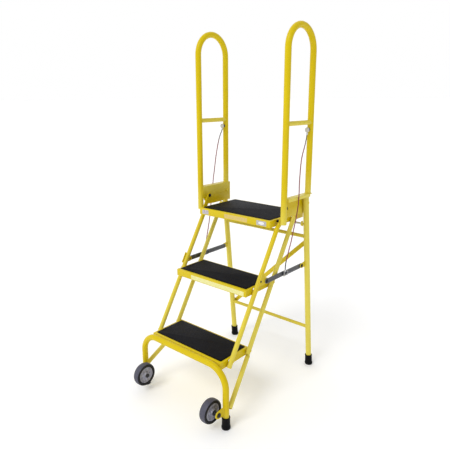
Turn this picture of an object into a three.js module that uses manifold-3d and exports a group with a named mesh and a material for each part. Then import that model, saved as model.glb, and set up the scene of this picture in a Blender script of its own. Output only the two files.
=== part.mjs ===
// Folding mobile ladder stand: three treads on two pairs of parallel rails, a hoop base with two
// wheels, a hinged rear frame, locking spreader links and a pair of tall looped handrails.
// Millimetres, +Z up, +X to the climber's right, +Y away from the climber. The origin is on the
// floor, midway between the sides and midway between the wheels' front and the rear feet's back.
import * as THREE from "three";
import { mergeVertices } from "three/addons/utils/BufferGeometryUtils.js";
import Module from "manifold-3d";

const wasm = await Module();
wasm.setup();

// ---------------------------------------------------------------- driving dimensions

const OVERALL_HEIGHT = 1520;
const HALF_DEPTH = 363;
const GAP = 0.3;
const PLATFORM_TOP = 762;
const STEP_RISE = 251.5;
const STEP_RUN = 152.3;
const LEAN = STEP_RUN / STEP_RISE;

const MAT_HALF_WIDTH = 186;
const MAT_THICKNESS = 3;
const STEP_MAT_DEPTH = 151;
const PLATFORM_MAT_DEPTH = 227;
const PLATFORM_MAT_FRONT = 63;
const PAN_HALF_WIDTH = 195;
const PAN_FRONT_MARGIN = 12;
const STEP_REAR_MARGIN = 8;
const PLATFORM_REAR_MARGIN = 11;
const PAN_HEIGHT = 29;
const SHEET = 2;

const RAIL_RADIUS = 9.5;
const RAIL_X = 206;
const RAIL_WALL = 1.8;
const TUBE_RADIUS = 12.7;
const TUBE_WALL = 2;
const TUBE_SIDES = 12;
const RAIL_SIDES = 10;
const PIVOT_BELOW_TOP = 11;
const FRONT_PIVOT_FROM_MAT = 39;
const REAR_PIVOT_FROM_MAT = 149.5;
const FRONT_RAIL_FOOT_Z = 229;
const REAR_RAIL_FOOT_Z = 234;
const REAR_RAIL_HEAD_Z = 758;
const RAIL_PIVOT = { y: 134, z: 801 };
const FRONT_RAIL_HEAD = 13;
const FLAT_END_THICKNESS = 6;
const FLAT_END_WIDTH = 24;
const FLAT_END_START = 92;
const FLAT_END_FULL = 68;

const PLATE_INNER_X = 215.9;
const SIDE_TUBE_X = PLATE_INNER_X + SHEET + GAP + TUBE_RADIUS;
const PLATE_TOP_Z = 846;
const PLATE_BOTTOM_Z = 760;
const PLATE_FRONT_Y = 96;
const PLATE_REAR_Y = 287;
const PLATE_CORNER = 50;
const LIP_DROP = 13;
const LIP_REAR_Y = 271;

const HANDRAIL_FRONT_Y = 95.5;
const HANDRAIL_REAR_Y = 274;
const HANDRAIL_FOOT_Z = 742;
const HANDRAIL_BAR_Z = 1142;
const KNOB_Z = 1112.4;
const KNOB_RADIUS = 10;
const KNOB_STUD_RADIUS = 4.5;

const LEG_FOOT_Y = HALF_DEPTH - 18.5;
const LEG_LEAN = Math.tan(THREE.MathUtils.degToRad(5.75));
const LEG_TOP_Z = 831;
const LEG_PIVOT_Z = 806;
const CROSSBAR_RADIUS = 8;
const UPPER_BAR_Z = 651;
const LOWER_BAR_Z = 201;
const BRACE_REACH = 228;
const BRACE_LEFT_Z = 197;
const BRACE_RIGHT_Z = 634;
const BRACE_WIDTH = 19.5;
const BRACE_THICKNESS = 4;
const REST_ROD = { y: 268.5, z: 709, radius: 4.75 };
const LEG_TAB = { front: 247, low: 699.5, high: 725.5 };

const LINK_HEIGHT = 21;
const LINK_THICKNESS = 3;
const LINK_Z = 524;
const LINK_FRONT_Y = 2;
const LINK_REAR_Y = 251;
const LINK_STACK_STEP = 3.6;

const HOOP_X = 236;
const HOOP_Y = -270.5;
const HOOP_TOP_Z = 249.5;
const HOOP_BEND = 82;
const STRUT_FOOT = new THREE.Vector3(245, -259, 86);
const STRUT_HEAD = new THREE.Vector3(196.5, -80, 230);

const FOOT_HEIGHT = 52;
const FOOT_FLOOR = 8;
const FOOT_RADIUS = 18.5;
const FOOT_NECK_RADIUS = 16.5;

const WHEEL_RADIUS = 49;
const WHEEL_WIDTH = 32;
const WHEEL_X = 195;
const WHEEL_Y = -HALF_DEPTH + WHEEL_RADIUS;
const WHEEL_Z = 82;
const WHEEL_PLATE_X = HOOP_X - 2;
const WHEEL_PLATE_THICKNESS = 4;
const AXLE_RADIUS = 6;
const WHEEL_SIDES = 20;
const HUB_HALF_LENGTH = 19;

const BOLT_RADIUS = 4;
const BOLT_HEAD_RADIUS = 7;
const BOLT_HEAD_HEIGHT = 5;
const HOLE_RADIUS = 4.3;
const BOLT_SIDES = 8;
const CORD_RADIUS = 2.1;
const CORD_STEPS = 32;

// ---------------------------------------------------------------- materials

function paint(color, roughness, metalness) {
  return new THREE.MeshStandardMaterial({ color, roughness, metalness });
}

const YELLOW = paint(0xe3ca1c, 0.35, 0.1);
const MAT_BLACK = paint(0x1b1c1e, 0.9, 0);
const RUBBER = paint(0x151515, 0.7, 0);
const TYRE_GREY = paint(0x56585c, 0.7, 0);
const HUB_GREY = paint(0x85878b, 0.5, 0);
const LINK_GREY = paint(0x4d5156, 0.45, 0.6);
const ZINC = paint(0xc9ccd0, 0.35, 0.8);
const BOLT_BLACK = paint(0x26282b, 0.45, 0.7);
const CORD_RED = paint(0x8e3b4a, 0.8, 0);

// ---------------------------------------------------------------- shape helpers

function vec(x, y, z) {
  return new THREE.Vector3(x, y, z);
}

// A path with evenly numbered stations: a straight run takes one step, a bend takes several.
class StationPath extends THREE.Curve {
  constructor(stations) {
    super();
    this.stations = stations;
  }

  getPoint(t, target = vec(0, 0, 0)) {
    const place = t * (this.stations.length - 1);
    const low = Math.min(Math.floor(place), this.stations.length - 2);
    return target.lerpVectors(this.stations[low], this.stations[low + 1], place - low);
  }

  getPointAt(u, target) {
    return this.getPoint(u, target);
  }

  getTangentAt(u, target = vec(0, 0, 0)) {
    const last = this.stations.length - 1;
    const here = Math.round(u * last);
    const before = this.stations[Math.max(here - 1, 0)];
    const at = this.stations[here];
    const after = this.stations[Math.min(here + 1, last)];
    const arriving = at.clone().sub(before).normalize();
    const leaving = after.clone().sub(at).normalize();
    return target.copy(arriving).add(leaving).normalize();
  }

  getSpacedPoints(divisions) {
    return this.getPoints(divisions);
  }
}

function signedVolume(geometry) {
  const position = geometry.getAttribute("position");
  const index = geometry.getIndex();
  let volume = 0;
  for (let i = 0; i < index.count; i += 3) {
    const corners = [0, 1, 2].map((k) => vec(0, 0, 0).fromBufferAttribute(position, index.getX(i + k)));
    volume += corners[0].dot(corners[1].cross(corners[2])) / 6;
  }
  return volume;
}

// One closed body with merged vertices and its faces pointing out.
function closedBody(geometry) {
  const bare = geometry.clone();
  bare.deleteAttribute("normal");
  bare.deleteAttribute("uv");
  const body = mergeVertices(bare, 1e-4);
  if (signedVolume(body) < 0) {
    const index = body.getIndex();
    for (let i = 0; i < index.count; i += 3) {
      const second = index.getX(i + 1);
      index.setX(i + 1, index.getX(i + 2));
      index.setX(i + 2, second);
    }
  }
  return body;
}

function toSolid(geometry) {
  const body = closedBody(geometry);
  const vertProperties = new Float32Array(body.getAttribute("position").array);
  const triVerts = new Uint32Array(body.getIndex().array);
  return new wasm.Manifold(new wasm.Mesh({ numProp: 3, vertProperties, triVerts }));
}

function toGeometry(solid) {
  const mesh = solid.getMesh();
  const geometry = new THREE.BufferGeometry();
  geometry.setAttribute("position", new THREE.BufferAttribute(mesh.vertProperties, 3));
  geometry.setIndex(new THREE.BufferAttribute(mesh.triVerts, 1));
  return geometry;
}

function cut(geometry, ...tools) {
  return toGeometry(tools.reduce((solid, tool) => solid.subtract(toSolid(tool)), toSolid(geometry)));
}

function join(geometry, ...others) {
  return toGeometry(others.reduce((solid, other) => solid.add(toSolid(other)), toSolid(geometry)));
}

function circle(radius) {
  return new THREE.Shape().absarc(0, 0, radius, 0, 2 * Math.PI);
}

function sweep(shape, stations, sides) {
  const extrudePath = new StationPath(stations);
  const steps = stations.length - 1;
  return new THREE.ExtrudeGeometry(shape, { steps, extrudePath, curveSegments: sides / 2 });
}

function rod(stations, radius, sides = RAIL_SIDES) {
  return sweep(circle(radius), stations, sides);
}

function tube(stations, radius, wall, sides = RAIL_SIDES) {
  const shape = circle(radius);
  shape.holes.push(new THREE.Path().absarc(0, 0, radius - wall, 0, 2 * Math.PI, true));
  return sweep(shape, stations, sides);
}

function block(low, high) {
  const size = high.clone().sub(low);
  const middle = low.clone().add(high).multiplyScalar(0.5);
  return new THREE.BoxGeometry(size.x, size.y, size.z).translate(middle.x, middle.y, middle.z);
}

// A flat plate with its outline in the YZ plane, from xLow to xLow + thickness.
function sidePlate(shape, xLow, thickness) {
  const settings = { depth: thickness, bevelEnabled: false, curveSegments: 8 };
  const geometry = new THREE.ExtrudeGeometry(shape, settings);
  const standing = new THREE.Matrix4().makeBasis(vec(0, 1, 0), vec(0, 0, 1), vec(1, 0, 0));
  return geometry.applyMatrix4(standing).translate(xLow, 0, 0);
}

// A turned piece on an axis along X. The profile's points are [radius, x].
function turnedOnX(profile, y, z, sides) {
  const points = profile.map(([radius, x]) => new THREE.Vector2(radius, x));
  const geometry = new THREE.LatheGeometry(points, sides);
  return geometry.rotateZ(-Math.PI / 2).translate(0, y, z);
}

function turnedOnZ(profile, x, y, sides) {
  const points = profile.map(([radius, z]) => new THREE.Vector2(radius, z));
  return new THREE.LatheGeometry(points, sides).rotateX(Math.PI / 2).translate(x, y, 0);
}

// A drill along X through everything between the two x values. Its flats stand at the radius.
function drill(y, z, xLow, xHigh, radius = HOLE_RADIUS) {
  const corner = radius / Math.cos(Math.PI / BOLT_SIDES);
  return turnedOnX([[0, xLow], [corner, xLow], [corner, xHigh], [0, xHigh]], y, z, BOLT_SIDES);
}

// A bolt along X with its head from headX to shankX and its nut from nutX to endX.
function boltOnX(y, z, headX, shankX, nutX, endX) {
  const shank = BOLT_RADIUS;
  const head = BOLT_HEAD_RADIUS;
  const profile = [
    [0, headX], [head, headX], [head, shankX], [shank, shankX],
    [shank, nutX], [head, nutX], [head, endX], [0, endX],
  ];
  return turnedOnX(profile, y, z, BOLT_SIDES);
}

function arc(centreA, centreB, radius, fromDegrees, toDegrees, steps) {
  const points = [];
  for (let i = 0; i <= steps; i += 1) {
    const angle = THREE.MathUtils.degToRad(fromDegrees + ((toDegrees - fromDegrees) * i) / steps);
    points.push([centreA + radius * Math.cos(angle), centreB + radius * Math.sin(angle)]);
  }
  return points;
}

function outline(points) {
  return new THREE.Shape(points.map(([a, b]) => new THREE.Vector2(a, b)));
}

// ---------------------------------------------------------------- places

function matTop(level) {
  return PLATFORM_TOP - (2 - level) * STEP_RISE;
}

function matFront(level) {
  return PLATFORM_MAT_FRONT - (2 - level) * STEP_RUN;
}

function pivot(level, fromMat) {
  return { y: matFront(level) + fromMat, z: matTop(level) - PIVOT_BELOW_TOP };
}

function railPoint(fromMat, z) {
  const top = pivot(2, fromMat);
  return vec(RAIL_X, top.y + (z - top.z) * LEAN, z);
}

function legPoint(z) {
  return vec(SIDE_TUBE_X, LEG_FOOT_Y - z * LEG_LEAN, z);
}

const LEG_PIVOT = { y: legPoint(LEG_PIVOT_Z).y, z: LEG_PIVOT_Z };

// ---------------------------------------------------------------- treads

function treadPan(level, matDepth, rearMargin) {
  const front = matFront(level) - PAN_FRONT_MARGIN;
  const rear = matFront(level) + matDepth + rearMargin;
  const top = matTop(level) - MAT_THICKNESS - GAP;
  const bottom = top - PAN_HEIGHT;
  const outside = block(vec(-PAN_HALF_WIDTH, front, bottom), vec(PAN_HALF_WIDTH, rear, top));
  const inside = block(
    vec(SHEET - PAN_HALF_WIDTH, front + SHEET, bottom - 1),
    vec(PAN_HALF_WIDTH - SHEET, rear - SHEET, top - SHEET),
  );
  const holes = [FRONT_PIVOT_FROM_MAT, REAR_PIVOT_FROM_MAT].map((fromMat) => {
    const { y, z } = pivot(level, fromMat);
    return drill(y, z, -PAN_HALF_WIDTH - 1, PAN_HALF_WIDTH + 1);
  });
  return cut(outside, inside, ...holes);
}

function treadMat(level, depth) {
  const corner = 5;
  const halfX = MAT_HALF_WIDTH - corner;
  const near = corner;
  const far = depth - corner;
  const shape = outline([
    ...arc(halfX, near, corner, -90, 0, 3),
    ...arc(halfX, far, corner, 0, 90, 3),
    ...arc(-halfX, far, corner, 90, 180, 3),
    ...arc(-halfX, near, corner, 180, 270, 3),
  ]);
  const geometry = new THREE.ExtrudeGeometry(shape, { depth: MAT_THICKNESS, bevelEnabled: false });
  return geometry.translate(0, matFront(level), matTop(level) - MAT_THICKNESS);
}

// ---------------------------------------------------------------- rails

const RAIL_DIRECTION = vec(0, LEAN, 1).normalize();
const RAIL_ACROSS = vec(0, 1, -LEAN).normalize();

function railHoles(fromMat) {
  return [0, 1, 2].map((level) => {
    const { y, z } = pivot(level, fromMat);
    return drill(y, z, RAIL_X - RAIL_RADIUS - 1, RAIL_X + RAIL_RADIUS + 1);
  });
}

// Presses the top of the front rail flat and wide against the side plate.
function pressFlatEnd(geometry, pivotPoint) {
  const position = geometry.getAttribute("position");
  const flatX = PLATE_INNER_X - GAP - FLAT_END_THICKNESS / 2;
  const corner = vec(0, 0, 0);
  for (let i = 0; i < position.count; i += 1) {
    corner.fromBufferAttribute(position, i);
    const fromPivot = corner.clone().sub(pivotPoint);
    const along = fromPivot.dot(RAIL_DIRECTION);
    const across = fromPivot.dot(RAIL_ACROSS);
    const press = THREE.MathUtils.smoothstep(along, -FLAT_END_START, -FLAT_END_FULL);
    const thin = THREE.MathUtils.lerp(1, FLAT_END_THICKNESS / (2 * RAIL_RADIUS), press);
    const wide = THREE.MathUtils.lerp(1, FLAT_END_WIDTH / (2 * RAIL_RADIUS), press);
    const x = THREE.MathUtils.lerp(RAIL_X, flatX, press) + fromPivot.x * thin;
    corner.addScaledVector(RAIL_ACROSS, across * (wide - 1));
    position.setXYZ(i, x, corner.y, corner.z);
  }
  return geometry;
}

function frontRail() {
  const pivotPoint = vec(RAIL_X, RAIL_PIVOT.y, RAIL_PIVOT.z);
  const middle = (FLAT_END_START + FLAT_END_FULL) / 2;
  const heights = [-FLAT_END_START, -middle, -FLAT_END_FULL, FRONT_RAIL_HEAD];
  const stations = heights.map((along) => pivotPoint.clone().addScaledVector(RAIL_DIRECTION, along));
  stations.unshift(railPoint(FRONT_PIVOT_FROM_MAT, FRONT_RAIL_FOOT_Z));
  const pressed = pressFlatEnd(tube(stations, RAIL_RADIUS, RAIL_WALL), pivotPoint);
  const topHole = drill(RAIL_PIVOT.y, RAIL_PIVOT.z, RAIL_X - RAIL_RADIUS, RAIL_X + RAIL_RADIUS + 1);
  return cut(pressed, topHole, ...railHoles(FRONT_PIVOT_FROM_MAT));
}

function rearRail() {
  const foot = railPoint(REAR_PIVOT_FROM_MAT, REAR_RAIL_FOOT_Z);
  const head = railPoint(REAR_PIVOT_FROM_MAT, REAR_RAIL_HEAD_Z);
  return cut(tube([foot, head], RAIL_RADIUS, RAIL_WALL), ...railHoles(REAR_PIVOT_FROM_MAT));
}

// ---------------------------------------------------------------- handrail unit

function sideBracket() {
  const cornerY = PLATE_FRONT_Y + PLATE_CORNER;
  const cornerZ = PLATE_BOTTOM_Z + PLATE_CORNER;
  const shape = outline([
    ...arc(cornerY, cornerZ, PLATE_CORNER, 180, 270, 6),
    [PLATE_REAR_Y, PLATE_BOTTOM_Z], [PLATE_REAR_Y, PLATE_TOP_Z], [PLATE_FRONT_Y, PLATE_TOP_Z],
  ]);
  const web = sidePlate(shape, PLATE_INNER_X, SHEET);
  const flangeFront = HANDRAIL_FRONT_Y + TUBE_RADIUS + GAP;
  const lipOuter = SIDE_TUBE_X + TUBE_RADIUS + GAP + SHEET;
  const flange = block(
    vec(PLATE_INNER_X, flangeFront, PLATE_TOP_Z - SHEET),
    vec(lipOuter, PLATE_REAR_Y, PLATE_TOP_Z),
  );
  const lip = block(
    vec(lipOuter - SHEET, flangeFront, PLATE_TOP_Z - LIP_DROP),
    vec(lipOuter, LIP_REAR_Y, PLATE_TOP_Z),
  );
  const holes = [RAIL_PIVOT, LEG_PIVOT].map(({ y, z }) => {
    return drill(y, z, PLATE_INNER_X - 1, PLATE_INNER_X + SHEET + 1);
  });
  return cut(join(web, flange, lip), ...holes);
}

function handrailLoop() {
  const radius = (HANDRAIL_REAR_Y - HANDRAIL_FRONT_Y) / 2;
  const centreZ = OVERALL_HEIGHT - TUBE_RADIUS - radius;
  const bend = arc(HANDRAIL_FRONT_Y + radius, centreZ, radius, 180, 0, 12);
  const stations = bend.map(([y, z]) => vec(SIDE_TUBE_X, y, z));
  stations.unshift(vec(SIDE_TUBE_X, HANDRAIL_FRONT_Y, HANDRAIL_FOOT_Z));
  stations.push(vec(SIDE_TUBE_X, HANDRAIL_REAR_Y, PLATE_TOP_Z + GAP));
  return tube(stations, TUBE_RADIUS, TUBE_WALL, TUBE_SIDES);
}

function handrailBar() {
  const start = vec(SIDE_TUBE_X, HANDRAIL_FRONT_Y + 5, HANDRAIL_BAR_Z);
  const end = vec(SIDE_TUBE_X, HANDRAIL_REAR_Y - 5, HANDRAIL_BAR_Z);
  const posts = [HANDRAIL_FRONT_Y, HANDRAIL_REAR_Y].map((y) => {
    const foot = vec(SIDE_TUBE_X, y, HANDRAIL_BAR_Z - 30);
    return rod([foot, vec(SIDE_TUBE_X, y, HANDRAIL_BAR_Z + 30)], TUBE_RADIUS + GAP, 24);
  });
  return cut(tube([start, end], RAIL_RADIUS, RAIL_WALL), ...posts);
}

// A round cord knob on a stud that stands forward from the handrail's rear tube.
function cordKnob() {
  const tubeFace = HANDRAIL_REAR_Y - TUBE_RADIUS - 2 * GAP;
  const back = tubeFace - 9;
  const front = back - 6;
  const profile = [
    [0, front], [KNOB_RADIUS - 2, front], [KNOB_RADIUS, front + 2], [KNOB_RADIUS, back - 2],
    [KNOB_RADIUS - 2, back], [KNOB_STUD_RADIUS, back], [KNOB_STUD_RADIUS, tubeFace], [0, tubeFace],
  ];
  const points = profile.map(([radius, y]) => new THREE.Vector2(radius, y));
  return new THREE.LatheGeometry(points, 10).translate(SIDE_TUBE_X, 0, KNOB_Z);
}

// The pull cord leaves the knob, passes outside the side bracket's lip and ends at the latch.
const RIGHT_CORD_ROUTE = [
  [230.9, 249.6, 1101.5], [231.6, 247.5, 1088], [233.0, 239.5, 1068], [235.0, 227.5, 1045],
  [237.0, 214.0, 1023], [239.4, 202.0, 1001], [242.0, 193.0, 975], [244.4, 186.5, 948],
  [246.6, 181.0, 918], [248.3, 177.5, 888], [249.2, 176.0, 860], [249.2, 175.0, 834],
  [248.2, 173.2, 808], [246.8, 170.0, 783], [245.4, 164.5, 754], [244.0, 158.0, 728],
  [242.6, 150.0, 698], [241.2, 141.0, 664], [239.6, 130.0, 632], [237.8, 120.5, 602],
  [235.2, 115.5, 576], [232.4, 116.5, 556], [230.5, 119.0, 543],
];
const LEFT_CORD_ROUTE = [
  [-230.9, 249.6, 1101.5], [-231.4, 244.5, 1088], [-233.4, 233.5, 1065], [-235.9, 226.0, 1038],
  [-238.6, 220.5, 1008], [-241.4, 216.0, 978], [-244.2, 212.0, 942], [-247.0, 208.5, 907],
  [-248.8, 204.5, 878], [-249.3, 200.5, 850], [-249.0, 196.0, 824], [-247.8, 190.5, 796],
  [-246.2, 184.0, 768], [-244.6, 177.0, 734], [-242.8, 169.5, 697], [-241.2, 160.5, 662],
  [-239.6, 151.5, 632], [-238.2, 143.0, 606], [-236.2, 134.0, 578], [-233.4, 126.0, 556],
  [-230.5, 120.0, 543],
];

function pullCord(route) {
  const curve = new THREE.CatmullRomCurve3(route.map(([x, y, z]) => vec(x, y, z)));
  return rod(curve.getSpacedPoints(CORD_STEPS), CORD_RADIUS, 8);
}

// ---------------------------------------------------------------- rear frame

function rearLeg() {
  const foot = legPoint(FOOT_FLOOR + 2);
  return cut(tube([foot, legPoint(LEG_TOP_Z)], TUBE_RADIUS, TUBE_WALL, TUBE_SIDES), legPivotDrill());
}

function legPivotDrill() {
  return drill(LEG_PIVOT.y, LEG_PIVOT.z, SIDE_TUBE_X - TUBE_RADIUS - 1, SIDE_TUBE_X + TUBE_RADIUS + 1);
}

function legEnvelopes() {
  return [1, -1].map((sign) => {
    const ends = [legPoint(0), legPoint(LEG_TOP_Z)].map((point) => vec(sign * point.x, point.y, point.z));
    return rod(ends, TUBE_RADIUS + GAP, 24);
  });
}

function rearCrossbar(z) {
  const end = legPoint(z);
  const reach = SIDE_TUBE_X - 5;
  const bar = tube([vec(-reach, end.y, z), vec(reach, end.y, z)], CROSSBAR_RADIUS, RAIL_WALL);
  return cut(bar, ...legEnvelopes());
}

// A flat bar across the back of the rear legs, from low on the left leg to high on the right one.
function diagonalBrace() {
  const tilt = Math.atan((BRACE_RIGHT_Z - BRACE_LEFT_Z) / (2 * BRACE_REACH));
  const halfRise = BRACE_WIDTH / 2 / Math.cos(tilt);
  const shape = outline([
    [-BRACE_REACH, BRACE_LEFT_Z - halfRise], [BRACE_REACH, BRACE_RIGHT_Z - halfRise],
    [BRACE_REACH, BRACE_RIGHT_Z + halfRise], [-BRACE_REACH, BRACE_LEFT_Z + halfRise],
  ]);
  const geometry = new THREE.ExtrudeGeometry(shape, { depth: BRACE_THICKNESS, bevelEnabled: false });
  const legDirection = vec(0, -LEG_LEAN, 1).normalize();
  const forward = vec(1, 0, 0).cross(legDirection);
  const basis = new THREE.Matrix4().makeBasis(vec(1, 0, 0), legDirection, forward);
  const base = legPoint(0).setX(0).addScaledVector(forward, -TUBE_RADIUS - GAP - BRACE_THICKNESS);
  return geometry.applyMatrix4(basis).translate(base.x, base.y, base.z);
}

// A round rod between the legs, above the upper crossbar. Its ends meet the inner faces of the tubes.
function restRod() {
  const { y, z, radius } = REST_ROD;
  const reach = SIDE_TUBE_X - 5;
  return cut(rod([vec(-reach, y, z), vec(reach, y, z)], radius), ...legEnvelopes());
}

function legFrontFace(z) {
  return legPoint(z).y - TUBE_RADIUS / Math.cos(Math.atan(LEG_LEAN));
}

// A small tab welded to the front of the leg beside the rest rod's end.
function legTab() {
  const { front, low, high } = LEG_TAB;
  const shape = outline([
    [legFrontFace(low) - GAP, low], [legFrontFace(high) - GAP, high], [front, high], [front - 4, low + 8],
  ]);
  const xLow = SIDE_TUBE_X - TUBE_RADIUS + 1.2;
  return cut(sidePlate(shape, xLow, LINK_THICKNESS), ...legEnvelopes());
}

// ---------------------------------------------------------------- spreaders

const LINK_MID_Y = (LINK_FRONT_Y + LINK_REAR_Y) / 2;
const SPREADER_BRACKET_X = RAIL_X + RAIL_RADIUS + GAP;
const FRONT_LINK_X = SPREADER_BRACKET_X + LINK_STACK_STEP;
const REAR_LINK_X = FRONT_LINK_X + LINK_STACK_STEP;
const SPREADER_LUG_X = REAR_LINK_X + LINK_STACK_STEP;

function spreaderBracket() {
  const nose = arc(LINK_FRONT_Y, LINK_Z, 11, 55, -90, 6);
  const shape = outline([[-25, 562], ...nose, [-42, 513], [-49, 521]]);
  const hole = drill(LINK_FRONT_Y, LINK_Z, SPREADER_BRACKET_X - 1, SPREADER_BRACKET_X + LINK_THICKNESS + 1);
  return cut(sidePlate(shape, SPREADER_BRACKET_X, LINK_THICKNESS), hole);
}

function spreaderLink(fromY, toY, xLow) {
  const radius = LINK_HEIGHT / 2;
  const farEnd = arc(toY, LINK_Z, radius, -90, 90, 6);
  const nearEnd = arc(fromY, LINK_Z, radius, 90, 270, 6);
  const shape = outline([...farEnd, ...nearEnd]);
  const holes = [fromY, toY].map((y) => drill(y, LINK_Z, xLow - 1, xLow + LINK_THICKNESS + 1));
  return cut(sidePlate(shape, xLow, LINK_THICKNESS), ...holes);
}

function spreaderLug() {
  const nose = arc(LINK_REAR_Y, LINK_Z, 11, 90, 270, 6);
  const low = LINK_Z - 11;
  const high = LINK_Z + 16;
  const shape = outline([...nose, [legFrontFace(low) + 6, low], [legFrontFace(high) + 6, high]]);
  const hole = drill(LINK_REAR_Y, LINK_Z, SPREADER_LUG_X - 1, SPREADER_LUG_X + LINK_THICKNESS + 1);
  return cut(sidePlate(shape, SPREADER_LUG_X, LINK_THICKNESS), hole, ...legEnvelopes());
}

// The finger latch over the middle pivot, with an ear that takes the pull cord.
function spreaderLatch() {
  const xLow = REAR_LINK_X + LINK_THICKNESS + GAP;
  const shape = outline([
    [LINK_MID_Y - 13, 512], [LINK_MID_Y + 10, 512], [LINK_MID_Y + 12, 528], [LINK_MID_Y - 2, 534],
    [LINK_MID_Y - 2, 540], [LINK_MID_Y - 12, 540], [LINK_MID_Y - 13, 532],
  ]);
  const plate = sidePlate(shape, xLow, SHEET);
  const ear = block(vec(xLow, LINK_MID_Y - 12, 534), vec(xLow + 6, LINK_MID_Y - 2, 540));
  return join(plate, ear);
}

// ---------------------------------------------------------------- base

function frontHoop() {
  const flat = HOOP_X - HOOP_BEND;
  const low = HOOP_TOP_Z - HOOP_BEND;
  const bends = [...arc(-flat, low, HOOP_BEND, 180, 90, 6), ...arc(flat, low, HOOP_BEND, 90, 0, 6)];
  const ends = [[-HOOP_X, FOOT_FLOOR + GAP], ...bends, [HOOP_X, FOOT_FLOOR + GAP]];
  return tube(ends.map(([x, z]) => vec(x, HOOP_Y, z)), TUBE_RADIUS, TUBE_WALL, TUBE_SIDES);
}

// A strut from low on the hoop's leg to the underside of the bottom tread's rear corner.
function frontStrut() {
  const hoopLeg = rod([vec(HOOP_X, HOOP_Y, 0), vec(HOOP_X, HOOP_Y, 200)], TUBE_RADIUS + GAP, 24);
  const panBottom = matTop(0) - MAT_THICKNESS - 2 * GAP - PAN_HEIGHT;
  const above = block(vec(150, -140, panBottom), vec(260, -20, 300));
  return cut(tube([STRUT_FOOT, STRUT_HEAD], RAIL_RADIUS, RAIL_WALL), hoopLeg, above);
}

// A rubber boot. The bore follows the tube's lean while the sole stays flat on the floor.
function rubberFoot(x, y, lean) {
  const bore = TUBE_RADIUS + 2 * GAP;
  const profile = [
    [0, 0], [FOOT_RADIUS, 0], [FOOT_RADIUS, 9], [FOOT_NECK_RADIUS, 16], [FOOT_NECK_RADIUS, FOOT_HEIGHT],
    [bore, FOOT_HEIGHT], [bore, FOOT_FLOOR], [0, FOOT_FLOOR],
  ];
  const shear = new THREE.Matrix4().set(1, 0, 0, 0, 0, 1, -lean, 0, 0, 0, 1, 0, 0, 0, 0, 1);
  return turnedOnZ(profile, 0, 0, 14).applyMatrix4(shear).translate(x, y, 0);
}

// A tab on the front of the hoop's leg that carries the axle bolt.
function wheelPlate() {
  const rear = HOOP_Y - TUBE_RADIUS - GAP;
  const nose = arc(WHEEL_Y, WHEEL_Z, 16, 80, 260, 6);
  const shape = outline([...nose, [rear, WHEEL_Z - 19], [rear, WHEEL_Z + 19]]);
  const hole = drill(WHEEL_Y, WHEEL_Z, WHEEL_PLATE_X - 1, WHEEL_PLATE_X + 5, AXLE_RADIUS + GAP);
  return cut(sidePlate(shape, WHEEL_PLATE_X, WHEEL_PLATE_THICKNESS), hole);
}

// The axle bolt has its head inside the wheel, a lock nut beside the hub and a nut outside the tab.
function axleBolt() {
  const nut = 10;
  const headEnd = WHEEL_X - HUB_HALF_LENGTH - 1;
  const lock = WHEEL_X + HUB_HALF_LENGTH + 1;
  const outer = WHEEL_PLATE_X + WHEEL_PLATE_THICKNESS + GAP;
  const profile = [
    [0, headEnd - 6], [nut, headEnd - 6], [nut, headEnd], [AXLE_RADIUS, headEnd],
    [AXLE_RADIUS, lock], [nut, lock], [nut, lock + 8], [AXLE_RADIUS, lock + 8],
    [AXLE_RADIUS, outer], [nut, outer], [nut, outer + 6], [0, outer + 6],
  ];
  return turnedOnX(profile, WHEEL_Y, WHEEL_Z, BOLT_SIDES);
}

function tyre() {
  const half = WHEEL_WIDTH / 2;
  const inner = 34;
  const profile = [
    [inner, -half + 1.5], [40, -half], [WHEEL_RADIUS - 5, -half + 1], [WHEEL_RADIUS - 1.2, -half + 5],
    [WHEEL_RADIUS, -half + 10], [WHEEL_RADIUS, half - 10], [WHEEL_RADIUS - 1.2, half - 5],
    [WHEEL_RADIUS - 5, half - 1], [40, half], [inner, half - 1.5], [inner, -half + 1.5],
  ];
  return turnedOnX(profile.map(([radius, x]) => [radius, x + WHEEL_X]), WHEEL_Y, WHEEL_Z, WHEEL_SIDES);
}

function wheelHub() {
  const rim = 33.5;
  const bore = AXLE_RADIUS + GAP;
  const side = [[rim, 12], [28, 12], [26, 5], [15, 5], [13, HUB_HALF_LENGTH], [bore, HUB_HALF_LENGTH]];
  const otherSide = side.map(([radius, x]) => [radius, -x]).reverse();
  const profile = [...side, ...otherSide, side[0]];
  return turnedOnX(profile.map(([radius, x]) => [radius, x + WHEEL_X]), WHEEL_Y, WHEEL_Z, WHEEL_SIDES);
}

// ---------------------------------------------------------------- pivot bolts

const PRESSED_RAIL_INNER_X = PLATE_INNER_X - GAP - FLAT_END_THICKNESS;

function topPivotBolt() {
  const seat = PRESSED_RAIL_INNER_X - GAP;
  const plateOuter = PLATE_INNER_X + SHEET;
  const end = plateOuter + BOLT_HEAD_HEIGHT;
  return boltOnX(RAIL_PIVOT.y, RAIL_PIVOT.z, seat - BOLT_HEAD_HEIGHT, seat, plateOuter + GAP, end);
}

function legPivotBolt() {
  const seat = PLATE_INNER_X - GAP;
  const legOuter = SIDE_TUBE_X + TUBE_RADIUS;
  const end = legOuter + BOLT_HEAD_HEIGHT;
  return boltOnX(LEG_PIVOT.y, LEG_PIVOT.z, seat - BOLT_HEAD_HEIGHT, seat, legOuter + 0.8, end);
}

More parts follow.
